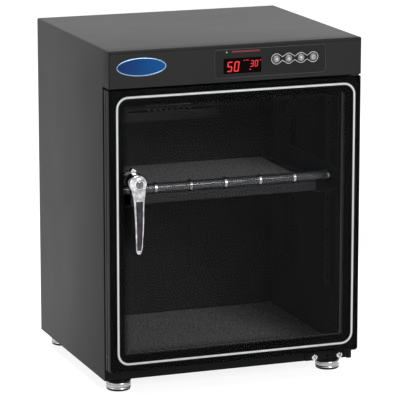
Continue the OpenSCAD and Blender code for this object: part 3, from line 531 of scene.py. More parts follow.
# %% Nameplate
plate_lo, plate_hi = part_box("nameplate")
plate_mid = middle("nameplate")
plate_size = plate_hi - plate_lo
PLATE_STEPS = 72
PLATE_EDGE = 0.25 * MM
RIM_W = 0.9 * MM
FIELD_STEP = 0.3 * MM
oval = (Matrix.Translation((plate_mid.x, plate_hi.y, plate_mid.z))
        @ Matrix.Diagonal((plate_size.x, 1, plate_size.z, 1)) @ FACE_FRONT)
bm = bmesh.new()
bmesh.ops.create_circle(bm, cap_ends=True, segments=PLATE_STEPS, radius=0.5, matrix=oval)
made = bmesh.ops.extrude_face_region(bm, geom=bm.faces[:])["geom"]
bmesh.ops.translate(bm, verts=only(BMVert, made), vec=(0, -plate_size.y, 0))
bevel(bm, only(BMFace, made)[0].edges[:], PLATE_EDGE)
face = min(bm.faces, key=lambda f: (round(f.calc_center_median().y, 6), -f.calc_area()))
bmesh.ops.inset_region(bm, faces=[face], thickness=RIM_W, depth=0)
bmesh.ops.inset_region(bm, faces=[face], thickness=FIELD_STEP, depth=-FIELD_STEP)
face.material_index = 1

plate_rim = metal("plate_rim", (0.24, 0.38, 0.52), 0.28)
plate_blue, blue_shader = plain("plate_blue", (0.008, 0.075, 0.3), 0.16)
blue_shader.inputs["Specular IOR Level"].default_value = 0.12
blue_tree = blue_shader.id_data
blue_place = blue_tree.nodes.new("ShaderNodeTexCoord")
blue_split = blue_tree.nodes.new("ShaderNodeSeparateXYZ")
across = blue_tree.nodes.new("ShaderNodeMapRange")
across.inputs["From Min"].default_value = plate_lo.x
across.inputs["From Max"].default_value = plate_hi.x
blue_tree.links.new(blue_place.outputs["Object"], blue_split.inputs["Vector"])
blue_tree.links.new(blue_split.outputs["X"], across.inputs["Value"])
tint(blue_shader, across.outputs["Result"], [(0.0, (0.008, 0.034, 0.17)), (1.0, (0.004, 0.12, 0.4))])
plate = make_piece(bm, "nameplate_blank", "cabinet", "blue_enamel", ["nameplate"], material=plate_rim)
plate.data.materials.append(plate_blue)

# %% [markdown]
# Printed lines and wires start the same way, as a tube along a few points: a curve with a round
# section, made a mesh. A printed line is a closed tube, pressed flat against what it is printed on.

# %% Helpers for tubes and printed lines
def swept(name, points, radius, resolution, closed=False):
    """A bmesh of a round tube along points, closed into a loop or capped at its ends."""
    curve = bpy.data.curves.new(name, "CURVE")
    curve.dimensions = "3D"
    curve.bevel_depth = radius
    curve.bevel_resolution = resolution
    curve.use_fill_caps = not closed
    spline = curve.splines.new("POLY")
    spline.points.add(len(points) - 1)
    for point, place in zip(spline.points, points):
        point.co = (*place, 1)
    spline.use_cyclic_u = closed
    sweep = bpy.data.objects.new(name, curve)
    bm = bmesh.new()
    bm.from_mesh(sweep.to_mesh())
    sweep.to_mesh_clear()
    bpy.data.objects.remove(sweep)
    bpy.data.curves.remove(curve)
    return bm


def printed_line(name, points, y, width, thickness, body, slot, material):
    bm = swept(name, [(x, y, z) for x, z in points], width / 2, 2, closed=True)
    press = (Matrix.Translation((0, y, 0)) @ Matrix.Diagonal((1, thickness / width, 1, 1))
             @ Matrix.Translation((0, -y, 0)))
    bmesh.ops.transform(bm, matrix=press, verts=bm.verts[:])
    make_piece(bm, name, body, slot, material=material)


def round_corners(x0, x1, z0, z1, radius, steps=8):
    """Points around a rectangle with round corners."""
    points = []
    for cx, cz, start in ((x1 - radius, z1 - radius, 0), (x0 + radius, z1 - radius, 90),
                          (x0 + radius, z0 + radius, 180), (x1 - radius, z0 + radius, 270)):
        for i in range(steps + 1):
            angle = math.radians(start + 90 * i / steps)
            points.append((cx + radius * math.cos(angle), cz + radius * math.sin(angle)))
    return points


# %% [markdown]
# The control panel's film carries a fine border, a red bar, a green lamp and a white chain that runs
# round the four buttons. The chain is worked out: half circles round the buttons, joined by straight
# lines that pinch in halfway between them.

# %% Print on the control panel
film_lo, film_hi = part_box("control_overlay")
window_lo, window_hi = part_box("display_window")
film_y = film_lo.y
INK = 0.06 * MM
FRAME_INSET = 1.0 * MM
FRAME_CORNER = 5 * MM
FRAME_W = 0.55 * MM
film_frame = round_corners(film_lo.x + FRAME_INSET, film_hi.x - FRAME_INSET,
                           film_lo.z + FRAME_INSET, film_hi.z - FRAME_INSET, FRAME_CORNER)
printed_line("film_border", film_frame, film_y - INK / 2, FRAME_W, INK, "cabinet", "panel_film", PRINT_GREY)

BUTTONS = ("mode_button", "up_button", "down_button", "power_button")
button_xs = [middle(name).x for name in BUTTONS]
button_z = middle(BUTTONS[0]).z
RING_R = 7.7 * MM
RING_STEPS = 10
NECK = 2.6 * MM
LEAVE = math.radians(50)
CHAIN_W = 0.9 * MM
upper = []
for i, x in enumerate(button_xs):
    start = math.pi if i == 0 else math.pi - LEAVE
    end = 0.0 if i == len(button_xs) - 1 else LEAVE
    for k in range(RING_STEPS + 1):
        angle = start + (end - start) * k / RING_STEPS
        upper.append((x + RING_R * math.cos(angle), RING_R * math.sin(angle)))
    if i < len(button_xs) - 1:
        upper.append(((x + button_xs[i + 1]) / 2, NECK))
chain = [(x, button_z + z) for x, z in upper] + [(x, button_z - z) for x, z in reversed(upper[1:-1])]
printed_line("button_chain", chain, film_y - INK / 2, CHAIN_W, INK, "cabinet", "white_plastic", PRINT_WHITE)

BAR_X = (-8.5 * MM, 36.5 * MM)
BAR_Z = film_hi.z - 4.6 * MM
BAR_HALF = 1.1 * MM
BAR_CORNER = 1.0 * MM
bm = bmesh.new()
add_plate(bm, (BAR_X[0], film_y - INK, BAR_Z - BAR_HALF),
          (BAR_X[1], film_y, BAR_Z + BAR_HALF), BAR_CORNER, 4)
make_piece(bm, "red_bar", "cabinet", "panel_film", material=PRINT_RED)


def add_disc(bm, x, z, y_back, y_front, radius, segments=24):
    """A short round cap that faces the front."""
    place = Matrix.Translation((x, (y_back + y_front) / 2, z)) @ FACE_FRONT
    bmesh.ops.create_cone(bm, cap_ends=True, segments=segments, radius1=radius, radius2=radius,
                          depth=abs(y_back - y_front), matrix=place)


LAMP_IN = 4.9 * MM
LAMP_DROP = 0.3 * MM
LAMP_R = 1.15 * MM
bm = bmesh.new()
add_disc(bm, window_lo.x + LAMP_IN, BAR_Z - LAMP_DROP, film_y, film_y - 2 * INK, LAMP_R)
make_piece(bm, "green_lamp", "cabinet", "panel_film", material=LAMP_GREEN)

# %% [markdown]
# The display is a dark window with lit figures. The figures are seven-segment digits: each segment is
# a small bar with cut corners, and the whole digit leans a little, as such displays do. They lie just
# on the window, where they show from any side.

# %% Display window and figures
WINDOW_PROUD = 0.1 * MM
WINDOW_CORNER = 0.8 * MM
bm = bmesh.new()
add_plate(bm, (window_lo.x, film_y - WINDOW_PROUD, window_lo.z), window_hi, WINDOW_CORNER, 3)
make_piece(bm, "display_window_pane", "cabinet", "smoked_window", ["display_window"])

SEGMENTS = {
    # name: (share of the width, share of the height, 1 if upright)
    "top": (0.5, 1, 0), "upper_right": (1, 0.75, 1), "lower_right": (1, 0.25, 1),
    "bottom": (0.5, 0, 0), "lower_left": (0, 0.25, 1), "upper_left": (0, 0.75, 1),
    "middle": (0.5, 0.5, 0),
}
LIT = {
    "0": ("top", "upper_right", "lower_right", "bottom", "lower_left", "upper_left"),
    "3": ("top", "upper_right", "lower_right", "bottom", "middle"),
    "5": ("top", "lower_right", "bottom", "upper_left", "middle"),
}
LEAN = math.tan(math.radians(7))
STROKE_SHARE = 0.115
WIDTH_SHARE = 0.52
CUT_SHARE = 0.42
BIG_SHARE, SMALL_SHARE, BASE_SHARE, MARKS_SHARE = 0.66, 0.42, 0.16, 0.82
FIGURE_T = 0.06 * MM
POINT_R = 0.9 * MM
POINT_UP = 1.2 * MM
POINT_DOWN = 0.8 * MM
MARK_HALF_H = 0.55 * MM
# Places as shares of the window's width
BIG_DIGITS = (("5", 0.1), ("0", 0.28))
SMALL_DIGITS = (("3", 0.7), ("0", 0.815))
LOW_POINT, HIGH_POINT = 0.7, 0.945
MARKS = ((0.52, 2.0 * MM), (0.585, 2.0 * MM), (0.63, 0.9 * MM))
figure_back = film_y - WINDOW_PROUD
figure_front = figure_back - FIGURE_T
window_w = window_hi.x - window_lo.x
window_h = window_hi.z - window_lo.z
big = window_h * BIG_SHARE
small = window_h * SMALL_SHARE
base_z = window_lo.z + window_h * BASE_SHARE
small_z = base_z + big - small


def add_bar(bm, x, z, half_x, half_z):
    return add_block(bm, (x - half_x, figure_front, z - half_z), (x + half_x, figure_back, z + half_z))


def add_digit(bm, character, x, z, height):
    stroke = height * STROKE_SHARE
    width = height * WIDTH_SHARE
    for name in LIT[character]:
        share_x, share_z, upright = SEGMENTS[name]
        cx = x + share_x * (width - stroke)
        cz = z + share_z * (height - stroke)
        half = ((height - stroke) / 4 if upright else (width - stroke) / 2) + stroke * 0.3
        half_x, half_z = (stroke / 2, half) if upright else (half, stroke / 2)
        bevel(bm, edges_along(add_bar(bm, cx, cz, half_x, half_z), 1), stroke * CUT_SHARE, 1)


bm = bmesh.new()
for digits, z, height in ((BIG_DIGITS, base_z, big), (SMALL_DIGITS, small_z, small)):
    for character, share in digits:
        add_digit(bm, character, window_lo.x + window_w * share, z, height)
for share, width in MARKS:
    add_bar(bm, window_lo.x + window_w * share, window_lo.z + window_h * MARKS_SHARE, width / 2, MARK_HALF_H)
for share, z in ((LOW_POINT, base_z + POINT_UP), (HIGH_POINT, small_z + small - POINT_DOWN)):
    add_disc(bm, window_lo.x + window_w * share, z, figure_back, figure_front, POINT_R, segments=12)
for vert in bm.verts:
    vert.co.x += (vert.co.z - base_z) * LEAN
make_piece(bm, "display_figures", "cabinet", "lit_red", ["display_digits"])

# %% [markdown]
# The four buttons are satin chrome caps with a flat middle and a white printed symbol. A cap is a
# profile spun round its own axis: a list of (distance from the axis, place along it) pairs. The same
# helper turns the feet, the key cylinder and the screws.

# %% Helper for turned parts, and the button caps
def add_turned(bm, centre, profile, axis="Y", steps=40):
    """Spins (radius, place along the axis) pairs round an axis through a centre."""
    centre = Vector(centre)
    along = Vector((0, 1, 0)) if axis == "Y" else Vector((0, 0, 1))
    ring = [bm.verts.new(centre + Vector((r, 0, 0)) + along * a) for r, a in profile]
    edges = [bm.edges.new(pair) for pair in zip(ring, ring[1:])]
    bmesh.ops.spin(bm, geom=ring + edges, cent=centre, axis=along, angle=math.tau, steps=steps,
                   use_merge=True)
    bmesh.ops.remove_doubles(bm, verts=bm.verts[:], dist=1e-7)


def outline(points, radius=0.0, along=0.0):
    """Points of a profile, in mm from a radius and from a place along the axis."""
    return [(radius + r * MM, along + a * MM) for r, a in points]


SYMBOL_W = 0.8 * MM
SYMBOL_T = 0.05 * MM
SYMBOL_PROUD = 0.02 * MM
RAY_L, RAY_W = 5.2 * MM, 0.45 * MM
SUN_R = 1.4 * MM
POWER_R = 2.2 * MM
DASH_L = 1.0 * MM
STEM_L, STEM_UP = 2.6 * MM, 1.6 * MM
ARROW_R, ARROW_SHIFT, ARROW_T = 2.8 * MM, 0.4 * MM, 0.04 * MM


def add_symbol_bar(bm, x, z, length, width, turn_degrees, y_front):
    """A thin printed bar, turned about the cap's axis."""
    verts = add_block(bm, (-length / 2, 0, -width / 2), (length / 2, SYMBOL_T, width / 2))
    turn = Matrix.Rotation(math.radians(turn_degrees), 4, "Y")
    place = Matrix.Translation((x, y_front - SYMBOL_PROUD, z)) @ turn
    bmesh.ops.transform(bm, matrix=place, verts=verts)


def add_sun(bm, x, y):
    """A disc with eight rays."""
    for turn in range(0, 180, 45):
        add_symbol_bar(bm, x, button_z, RAY_L, RAY_W, turn, y)
    add_disc(bm, x, button_z, y + SYMBOL_PROUD, y + SYMBOL_PROUD - SYMBOL_T, SUN_R)


def add_power_sign(bm, x, y):
    """A ring of short bars, open at the top, with an upright one in the gap."""
    for turn in range(-60, 250, 20):
        angle = math.radians(turn) + math.pi
        add_symbol_bar(bm, x + POWER_R * math.sin(angle), button_z + POWER_R * math.cos(angle),
                       DASH_L, SYMBOL_W, turn, y)
    add_symbol_bar(bm, x, button_z + STEM_UP, STEM_L, SYMBOL_W, 90, y)


def add_arrow(bm, x, y, sign):
    """A triangle that points up for a sign of 1 and down for -1."""
    place = (Matrix.Translation((x, y, button_z - sign * ARROW_SHIFT))
             @ Matrix.Rotation(math.radians(90 * sign), 4, "X"))
    corners = bmesh.ops.create_circle(bm, cap_ends=True, segments=3, radius=ARROW_R, matrix=place)["verts"]
    bmesh.ops.solidify(bm, geom=[corners[0].link_faces[0]], thickness=ARROW_T)


CAP_R = 5.3 * MM
CAP_FACE = [
    # (share of the cap's radius, mm behind its front)
    (0, 0.1), (0.72, 0.1), (0.8, 0), (0.88, 0), (0.95, 0.15), (1, 0.5), (1, 4)]
SYMBOL_IN = 0.08 * MM
for name, x in zip(BUTTONS, button_xs):
    lo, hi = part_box(name)
    face = [(CAP_R * share, lo.y + behind * MM) for share, behind in CAP_FACE]
    flange = outline([(0, 4), (0, 5)], (hi.x - lo.x) / 2, lo.y)
    stem = [(CAP_R / 3, lo.y + 5 * MM), (CAP_R / 3, hi.y), (0, hi.y)]
    bm = bmesh.new()
    add_turned(bm, (x, 0, button_z), face + flange + stem)
    make_piece(bm, f"{name}_cap", name, "button_chrome", [name])
    bm = bmesh.new()
    if name == "mode_button":
        add_sun(bm, x, lo.y + SYMBOL_IN)
    elif name == "power_button":
        add_power_sign(bm, x, lo.y + SYMBOL_IN)
    else:
        add_arrow(bm, x, lo.y + SYMBOL_IN, 1 if name == "up_button" else -1)
    make_piece(bm, f"{name}_mark", name, "button_chrome", material=ICON_WHITE)

# %% [markdown]
# Behind the header's front sits the circuit board with the display block, the four switches and the
# plug of the wiring, which leaves the board in its middle.

# %% Circuit board
board_lo, board_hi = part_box("control_board")
wires_lo, wires_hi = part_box("wiring_harness")
wire_x = 0.0
wire_r = wire_x - wires_lo.x
wire_z = wires_hi.z - wire_r
BOARD_T = 1.6 * MM
FASCIA_T = 2 * MM
PLUG_D = 7.5 * MM
PLUG_HALF = 6.25 * MM
SWITCH_D = 1.2 * MM
SWITCH_HALF = 3 * MM
BOARD_EDGE = 0.25 * MM
BOARD_PARTS_EDGE = 0.3 * MM
board_back = board_hi.y - PLUG_D
board_front = board_back - BOARD_T
bm = bmesh.new()
add_block(bm, (board_lo.x, board_front, board_lo.z), (board_hi.x, board_back, board_hi.z))
bevel(bm, edges_sharper_than(bm), BOARD_EDGE)
make_piece(bm, "board", "cabinet", "circuit", ["control_board"])
bm = bmesh.new()
add_block(bm, (window_lo.x, front_y + FASCIA_T, window_lo.z), (window_hi.x, board_front, window_hi.z))
for x in button_xs:
    add_block(bm, (x - SWITCH_HALF, board_front - SWITCH_D, button_z - SWITCH_HALF),
              (x + SWITCH_HALF, board_front, button_z + SWITCH_HALF))
add_block(bm, (wire_x - PLUG_HALF, board_back, wire_z - PLUG_HALF),
          (wire_x + PLUG_HALF, board_hi.y, wire_z + PLUG_HALF))
bevel(bm, edges_sharper_than(bm), BOARD_PARTS_EDGE)
make_piece(bm, "board_parts", "cabinet", "black_plastic", ["control_board"])

# %% [markdown]
# The wiring is a sleeved bundle that runs from the board back to the dehumidifier, with a branch to
# the power inlet. Each run is a tube along a few points, with its bends rounded.

# %% Wiring
RUN_IN = 32 * MM
BRANCH_SHARE = 0.98


def add_run(name, points, radius, bend=7 * MM, steps=6):
    route = [Vector(points[0])]
    for before, corner, after in zip(points, points[1:], points[2:]):
        corner = Vector(corner)
        a = corner + (Vector(before) - corner).normalized() * bend
        b = corner + (Vector(after) - corner).normalized() * bend
        for k in range(steps + 1):
            t = k / steps
            route.append(a * (1 - t) ** 2 + corner * 2 * t * (1 - t) + b * t ** 2)
    route.append(Vector(points[-1]))
    bm = swept(name, route, radius, 4)
    bmesh.ops.remove_doubles(bm, verts=bm.verts[:], dist=1e-7)
    make_piece(bm, name, "cabinet", "wire_sleeve", ["wiring_harness"])


run_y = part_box("dehumidifier_housing")[0].y + RUN_IN
branch_x = wires_hi.x - wire_r
add_run("wires_to_cooler", [(wire_x, wires_lo.y, wire_z), (wire_x, run_y, wire_z),
                            (wire_x, run_y, wires_lo.z)], wire_r)
add_run("wires_to_inlet", [(wire_x, run_y, wire_z), (branch_x, run_y, wire_z),
                           (branch_x, wires_hi.y, wire_z)], wire_r * BRANCH_SHARE)

# %% [markdown]
# The power inlet is a moulded block with a flange, and a bright contact pin stands in its socket.
# The pin is part of the same node, so the block is its rounded copy and the pin is turned anew.

# %% Power inlet
INLET_EDGE = 0.3 * MM
eased("power_inlet", INLET_EDGE)
inlet = middle("power_inlet")
inlet_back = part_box("power_inlet")[1].y
pin = outline([(0, -0.9), (0.9, -1.2), (1.05, -1.6), (1.05, -9.4), (0, -9.4)], 0, inlet_back)
bm = bmesh.new()
add_turned(bm, (inlet.x, 0, inlet.z), pin, steps=20)
make_piece(bm, "inlet_contact", "cabinet", "bright_steel")

# %% [markdown]
# The door's glass is printed on its back. A solid black border breaks up into dots that shrink
# inward, so that the edge of the print fades instead of stopping. Each row of dots has one radius,
# the rows follow the border's inner edge, and every other row is shifted by half a step. The pane's
# own thin rim is nearly black.

# %% Glass and halftone dots
glass_lo, glass_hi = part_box("door_glass")
print_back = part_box("door_print")[1].y
BORDER_W = 23 * MM
DOT_STEP = 2.1 * MM
DOT_ROW_STEP = 0.9 * DOT_STEP
DOT_ROWS = 7
DOT_MAX = 1.25 * MM
DOT_MIN = 0.28 * MM
DOT_SIDES = 8
DOT_IN = 0.05 * MM
PANE_EDGE = 0.4 * MM
paint_faces(eased("door_glass", PANE_EDGE), GLASS_EDGE, lambda normal: abs(normal.y) < 0.9)
bm = bmesh.new()
for row_number in range(DOT_ROWS):
    radius = DOT_MAX + (DOT_MIN - DOT_MAX) * row_number / (DOT_ROWS - 1)
    inset = BORDER_W + row_number * DOT_ROW_STEP
    x0, x1 = glass_lo.x + inset, glass_hi.x - inset
    z0, z1 = glass_lo.z + inset, glass_hi.z - inset
    corners = [Vector((x0, z0)), Vector((x1, z0)), Vector((x1, z1)), Vector((x0, z1))]
    for start, end in zip(corners, corners[1:] + corners[:1]):
        number = round((end - start).length / DOT_STEP)
        for k in range(number):
            spot = start.lerp(end, (k + 0.5 * (row_number % 2)) / number)
            place = Matrix.Translation((spot.x, print_back - DOT_IN, spot.y)) @ FACE_FRONT
            bmesh.ops.create_circle(bm, cap_ends=True, segments=DOT_SIDES, radius=radius, matrix=place)
dots = make_piece(bm, "halftone_dots", "door", "black_enamel", recalc=False)
print(len(dots.data.polygons), "dots")

# %% [markdown]
# A bright silver line runs round the door inside its edge, with round corners. It is the strongest
# graphic on the cabinet, so its width and place follow the real one.

# %% Silver line
LINE_W = 3.2 * MM
LINE_T = 0.2 * MM
LINE_CORNER = 17 * MM
LINE_LEFT, LINE_RIGHT, LINE_TOP, LINE_BOTTOM = 12.9 * MM, 10.3 * MM, 10.8 * MM, 11.1 * MM
line = round_corners(glass_lo.x + LINE_LEFT, glass_hi.x - LINE_RIGHT, glass_lo.z + LINE_BOTTOM,
                     glass_hi.z - LINE_TOP, LINE_CORNER, steps=12)
printed_line("silver_line", line, glass_lo.y, LINE_W, LINE_T, "door", "foot_steel", PRINT_SILVER)

# %% [markdown]
# The seal is a soft bellows that closes the gap between the door's profiles and the body. Its section
# is a short outline with two folds, and the same outline stands at all four corners, each a little
# further round the door, with skins bridged between them.

# %% Door seal
seal_lo, seal_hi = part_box("door_gasket")
seal_depth = seal_hi.y - seal_lo.y
SEAL_W = 12 * MM
SEAL_SECTION = [
    # (share of the width, share of the depth)
    (0.25, 0.0), (0.75, 0.0), (0.8, 0.18), (0.97, 0.3), (1.0, 0.42), (0.86, 0.5), (1.0, 0.6), (0.97, 0.86),
    (0.82, 1.0), (0.18, 1.0), (0.03, 0.86), (0.0, 0.6), (0.14, 0.5), (0.0, 0.42), (0.03, 0.3), (0.2, 0.18)]
bm = bmesh.new()
loops = []
for x, z, in_x, in_z in ((seal_lo.x, seal_lo.z, 1, 1), (seal_hi.x, seal_lo.z, -1, 1),
                         (seal_hi.x, seal_hi.z, -1, -1), (seal_lo.x, seal_hi.z, 1, -1)):
    verts = [bm.verts.new((x + in_x * w * SEAL_W, seal_lo.y + d * seal_depth, z + in_z * w * SEAL_W))
             for w, d in SEAL_SECTION]
    loops.append([bm.edges.new(pair) for pair in zip(verts, verts[1:] + verts[:1])])
for loop, following in zip(loops, loops[1:] + loops[:1]):
    bmesh.ops.bridge_loops(bm, edges=loop + following)
seal = make_piece(bm, "door_seal", "door", "seal_rubber", ["door_gasket"])
soft = seal.modifiers.new("Soft", "BEVEL")
soft.width = 0.25 * MM
soft.segments = 2
soft.limit_method = "ANGLE"

# %% [markdown]
# The lever is die-cast and chromed: a thick round head that holds the key cylinder, and a long arm
# whose two raised rims run down from the head, with a hollow between them, and close at a round
# tip. The hollow's faces get a dark chrome, which is painted shade between the rims. The arm starts
# as a grid. Across it the columns follow one section, and down it the rows follow a few widths; then
# it gets its depth and is smoothed by subdivision.

# %% Lever arm
lock_lo, lock_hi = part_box("lock_cylinder")
axis_x, axis_z = middle("lock_cylinder").x, middle("lock_cylinder").z
lever_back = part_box("handle_lever")[1].y
LEVER_REACH = 27 * MM
lever_front = glass_lo.y - LEVER_REACH
ARM = [
    # (below the axis, half width, front face behind the lever's front, thickness, share of the hollow)
    (-6, 12.3, 4.5, 12.5, 0), (4, 12.3, 3.0, 14, 0), (12, 11.0, 1.8, 14, 0), (19, 9.6, 0.9, 11.5, 0.1),
    (25, 8.6, 0.4, 9, 0.8), (36, 7.9, 0.0, 8, 1), (50, 7.4, -0.9, 8, 1), (66, 6.8, -1.2, 8, 1),
    (82, 6.1, 0.3, 8, 1), (94, 5.5, 1.6, 8, 0.9), (100, 5.0, 2.4, 7.8, 0.25), (104.2, 3.7, 3.2, 7.2, 0),
    (105.9, 1.7, 4.2, 5.5, 0),
]
SECTION = [
    # (share of the half width, drop of the crown, share of the hollow)
    (-1.0, 3.6, 0), (-0.93, 0.9, 0), (-0.78, 0.0, 0), (-0.62, 0.25, 0.25), (-0.52, 0.9, 1), (0, 1.0, 1.1),
    (0.52, 0.9, 1), (0.62, 0.25, 0.25), (0.78, 0.0, 0), (0.93, 0.9, 0), (1.0, 3.6, 0),
]
HOLLOW = 2.2 * MM
CROWN = 0.9 * MM
BACK_ROUND = 1.6 * MM
# Rows and columns of the hollow, whose faces get a dark chrome as painted shade
PAINTED_SHADE_ROWS = range(4, len(ARM) - 2)
PAINTED_SHADE_COLUMNS = range(3, len(SECTION) - 3)
bm = bmesh.new()
grid = bmesh.ops.create_grid(bm, x_segments=len(SECTION) - 1, y_segments=len(ARM) - 1, size=1)["verts"]
grid.sort(key=lambda v: (round(-v.co.y, 4), round(v.co.x, 4)))
place_of = {vert: divmod(number, len(SECTION)) for number, vert in enumerate(grid)}
for vert, (row, column) in place_of.items():
    below, half, set_back, _, hollow = ARM[row]
    u, crown, dig = SECTION[column]
    y = lever_front + set_back * MM + crown * CROWN + HOLLOW * dig * hollow
    vert.co = (axis_x + u * half * MM, y, axis_z - below * MM)
for f in bm.faces:
    rows, columns = zip(*(place_of[v] for v in f.verts))
    f.material_index = int(set(rows) <= set(PAINTED_SHADE_ROWS) and set(columns) <= set(PAINTED_SHADE_COLUMNS))
made = bmesh.ops.extrude_face_region(bm, geom=bm.faces[:])["geom"]
for vert in only(BMVert, made):
    below = (axis_z - vert.co.z) / MM
    _, half, set_back, thickness, _ = min(ARM, key=lambda row: abs(row[0] - below))
    u = (vert.co.x - axis_x) / (half * MM)
    vert.co.y = lever_front + (set_back + thickness) * MM - BACK_ROUND * u * u
for f in only(BMFace, made):
    f.material_index = 0
arm = make_piece(bm, "lever_arm", "handle", "handle_chrome", ["handle_lever"])
# Painted shade: a dark chrome on the hollow's faces stands for the shade between the rims
hollow_painted_shade = metal("painted_shade_in_the_hollow", (0.042, 0.038, 0.044), 0.3, scale=80, swing=0.05, tone=0.3)
arm.data.materials.append(hollow_painted_shade)
smooth = arm.modifiers.new("Smooth", "SUBSURF")
smooth.levels = smooth.render_levels = 2

# %% [markdown]
# The head is turned: a drum with a domed face and a raised collar round the key cylinder. Its bore is
# left open for the cylinder, which turns inside it.

# %% Lever head, spindle and key cylinder
HEAD_R = 14 * MM
SPINDLE_R = 4 * MM
HEAD_OFF_GLASS = 9 * MM
BORE_PLAY = 0.05 * MM
KEY_HALF = 0.7 * MM
KEY_SHARE = 0.62
KEY_PROUD = 0.04 * MM
KEY_DEEP = 0.5 * MM
head_back = glass_lo.y - HEAD_OFF_GLASS
lock_r = (lock_hi.x - lock_lo.x) / 2
key_reach = lock_r * KEY_SHARE
bore_r = lock_r + BORE_PLAY
collar = outline([(0, 13), (0, 0.5), (0.4, 0), (1.7, 0), (2.2, 0.5), (2.5, 1.6)], bore_r, lever_front)
drum = outline([(-2.8, 2.6), (-1, 4.2), (0, 6.5)], HEAD_R, lever_front)
drum += outline([(0, -0.8), (-0.8, 0)], HEAD_R, head_back)
spindle = [(SPINDLE_R, head_back)] + outline([(0, -0.4), (-0.4, 0)], SPINDLE_R, lever_back)
spindle += [(0, lever_back)]
bm = bmesh.new()
add_turned(bm, (axis_x, 0, axis_z), collar + drum + spindle, steps=56)
make_piece(bm, "lever_head", "handle", "handle_chrome", ["handle_lever"])

bm = bmesh.new()
add_turned(bm, (axis_x, 0, axis_z), [
    (0, lock_lo.y), (lock_r * 0.9, lock_lo.y), (lock_r, lock_lo.y + 0.35 * MM),
    (lock_r, lock_hi.y - 0.3 * MM), (lock_r - 0.3 * MM, lock_hi.y), (0, lock_hi.y)])
make_piece(bm, "key_cylinder", "lock", "bright_steel", ["lock_cylinder"],
           material=metal("cylinder_face", (0.16, 0.16, 0.165), 0.2, scale=300))
# The keyway is a black block set into the cylinder's face and just proud of it: painted shade for the depth
# of the slot
bm = bmesh.new()
add_block(bm, (axis_x - KEY_HALF, lock_lo.y - KEY_PROUD, axis_z - key_reach),
          (axis_x + KEY_HALF, lock_lo.y + KEY_DEEP, axis_z + key_reach))
bevel(bm, edges_along(bm.verts[:], 1), KEY_DEEP, 3)
make_piece(bm, "key_slot", "lock", "bright_steel", material=FINISH["black_plastic"])

# %% [markdown]
# Each foot is turned from the same short profiles: a domed black collar under the body, a steel ring
# with two grooves, and a rubber pad with a small bead where it meets the floor.

# %% Feet
FOOT_GROOVES = [
    # (mm in from the rim, height in fifths of the ring)
    (0.5, 1.1), (1, 1.3), (1, 1.6), (0.25, 1.8), (0, 2.3), (0.5, 3.2), (1, 3.4), (1, 3.7), (0.25, 3.9)]
FOOT_GAP = 0.3 * MM
COLLAR_BORE = 7.2 * MM
COLLAR_OVER = 0.5 * MM
collar_lo, collar_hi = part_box("foot_collars")
collars = bmesh.new()
for corner in ("front_left", "front_right", "rear_left", "rear_right"):
    foot_lo, foot_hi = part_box(f"foot_{corner}")
    pad_lo, pad_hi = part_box(f"pad_{corner}")
    centre = (middle(f"foot_{corner}").x, middle(f"foot_{corner}").y, 0)
    r = (foot_hi.x - foot_lo.x) / 2
    top = collar_lo.z - FOOT_GAP
    fifth = (top - foot_lo.z) / 5
    grooves = [(r - inward * MM, foot_lo.z + fifth * height) for inward, height in FOOT_GROOVES]
    ring = [(0, foot_lo.z)] + outline([(-0.5, 0), (0, 0.5)], r, foot_lo.z) + grooves
    ring += outline([(-0.5, -0.9), (-1.4, 0)], r, top)
    stud = outline([(4, 0)], 0, top) + outline([(4, -0.5), (3.5, 0), (0, 0)], 0, foot_hi.z)
    bm = bmesh.new()
    add_turned(bm, centre, ring + stud, axis="Z", steps=64)
    make_piece(bm, f"foot_{corner}_turned", f"foot_{corner}", "foot_steel", [f"foot_{corner}"])
    pad_r = (pad_hi.x - pad_lo.x) / 2
    bead = outline([(-2.2, 0), (-1.2, 0.25), (0, 1.1), (0, 2.2)], pad_r, pad_lo.z)
    bm = bmesh.new()
    add_turned(bm, centre, [(0, pad_lo.z)] + bead + [(pad_r - 0.4 * MM, pad_hi.z), (0, pad_hi.z)],
               axis="Z", steps=56)
    make_piece(bm, f"pad_{corner}_turned", f"foot_{corner}", "pad_rubber", [f"pad_{corner}"])
    dome = outline([(-1.6, 0), (-0.4, 0.5), (0, 1.6), (-0.1, 2.8), (-1, 4.4)], r + COLLAR_OVER, collar_lo.z)
    dome += outline([(-3.2, -0.1), (-4, 0)], r + COLLAR_OVER, collar_hi.z)
    bore = [(COLLAR_BORE, collar_hi.z), (COLLAR_BORE, collar_lo.z)]
    add_turned(collars, centre, bore[1:] + dome + bore, axis="Z", steps=56)
make_piece(collars, "foot_collars_domed", "cabinet", "collar_plastic", ["foot_collars"])

# %% [markdown]
# The screws are pan heads with a cross recess, which two thin dark bars across the head stand for;
# their dark steel is painted shade for the depth of the recess.
# One head is turned, then copied to each place and turned to face the way its bracket does.

# %% Screws
bracket_lo, bracket_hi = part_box("bottom_hinge_bracket")
top_bracket_lo, top_bracket_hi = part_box("top_hinge_bracket")
cover_lo, cover_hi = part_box("rear_vent_cover")
SCREW_R = 5 * MM
SCREW_H = 2.6 * MM
SCREW_HEAD = [(0, 1), (0.45, 0.97), (0.78, 0.78), (0.95, 0.45), (1, 0)]
CROSS_R = SCREW_R * 0.58
CROSS_HALF = 0.55 * MM
CROSS_DEEP = SCREW_H * 0.3
CROSS_PROUD = 0.06 * MM
COVER_INSET = 7 * MM
BRACKET_T = 2 * MM
BRACKET_EDGE = 0.3 * MM


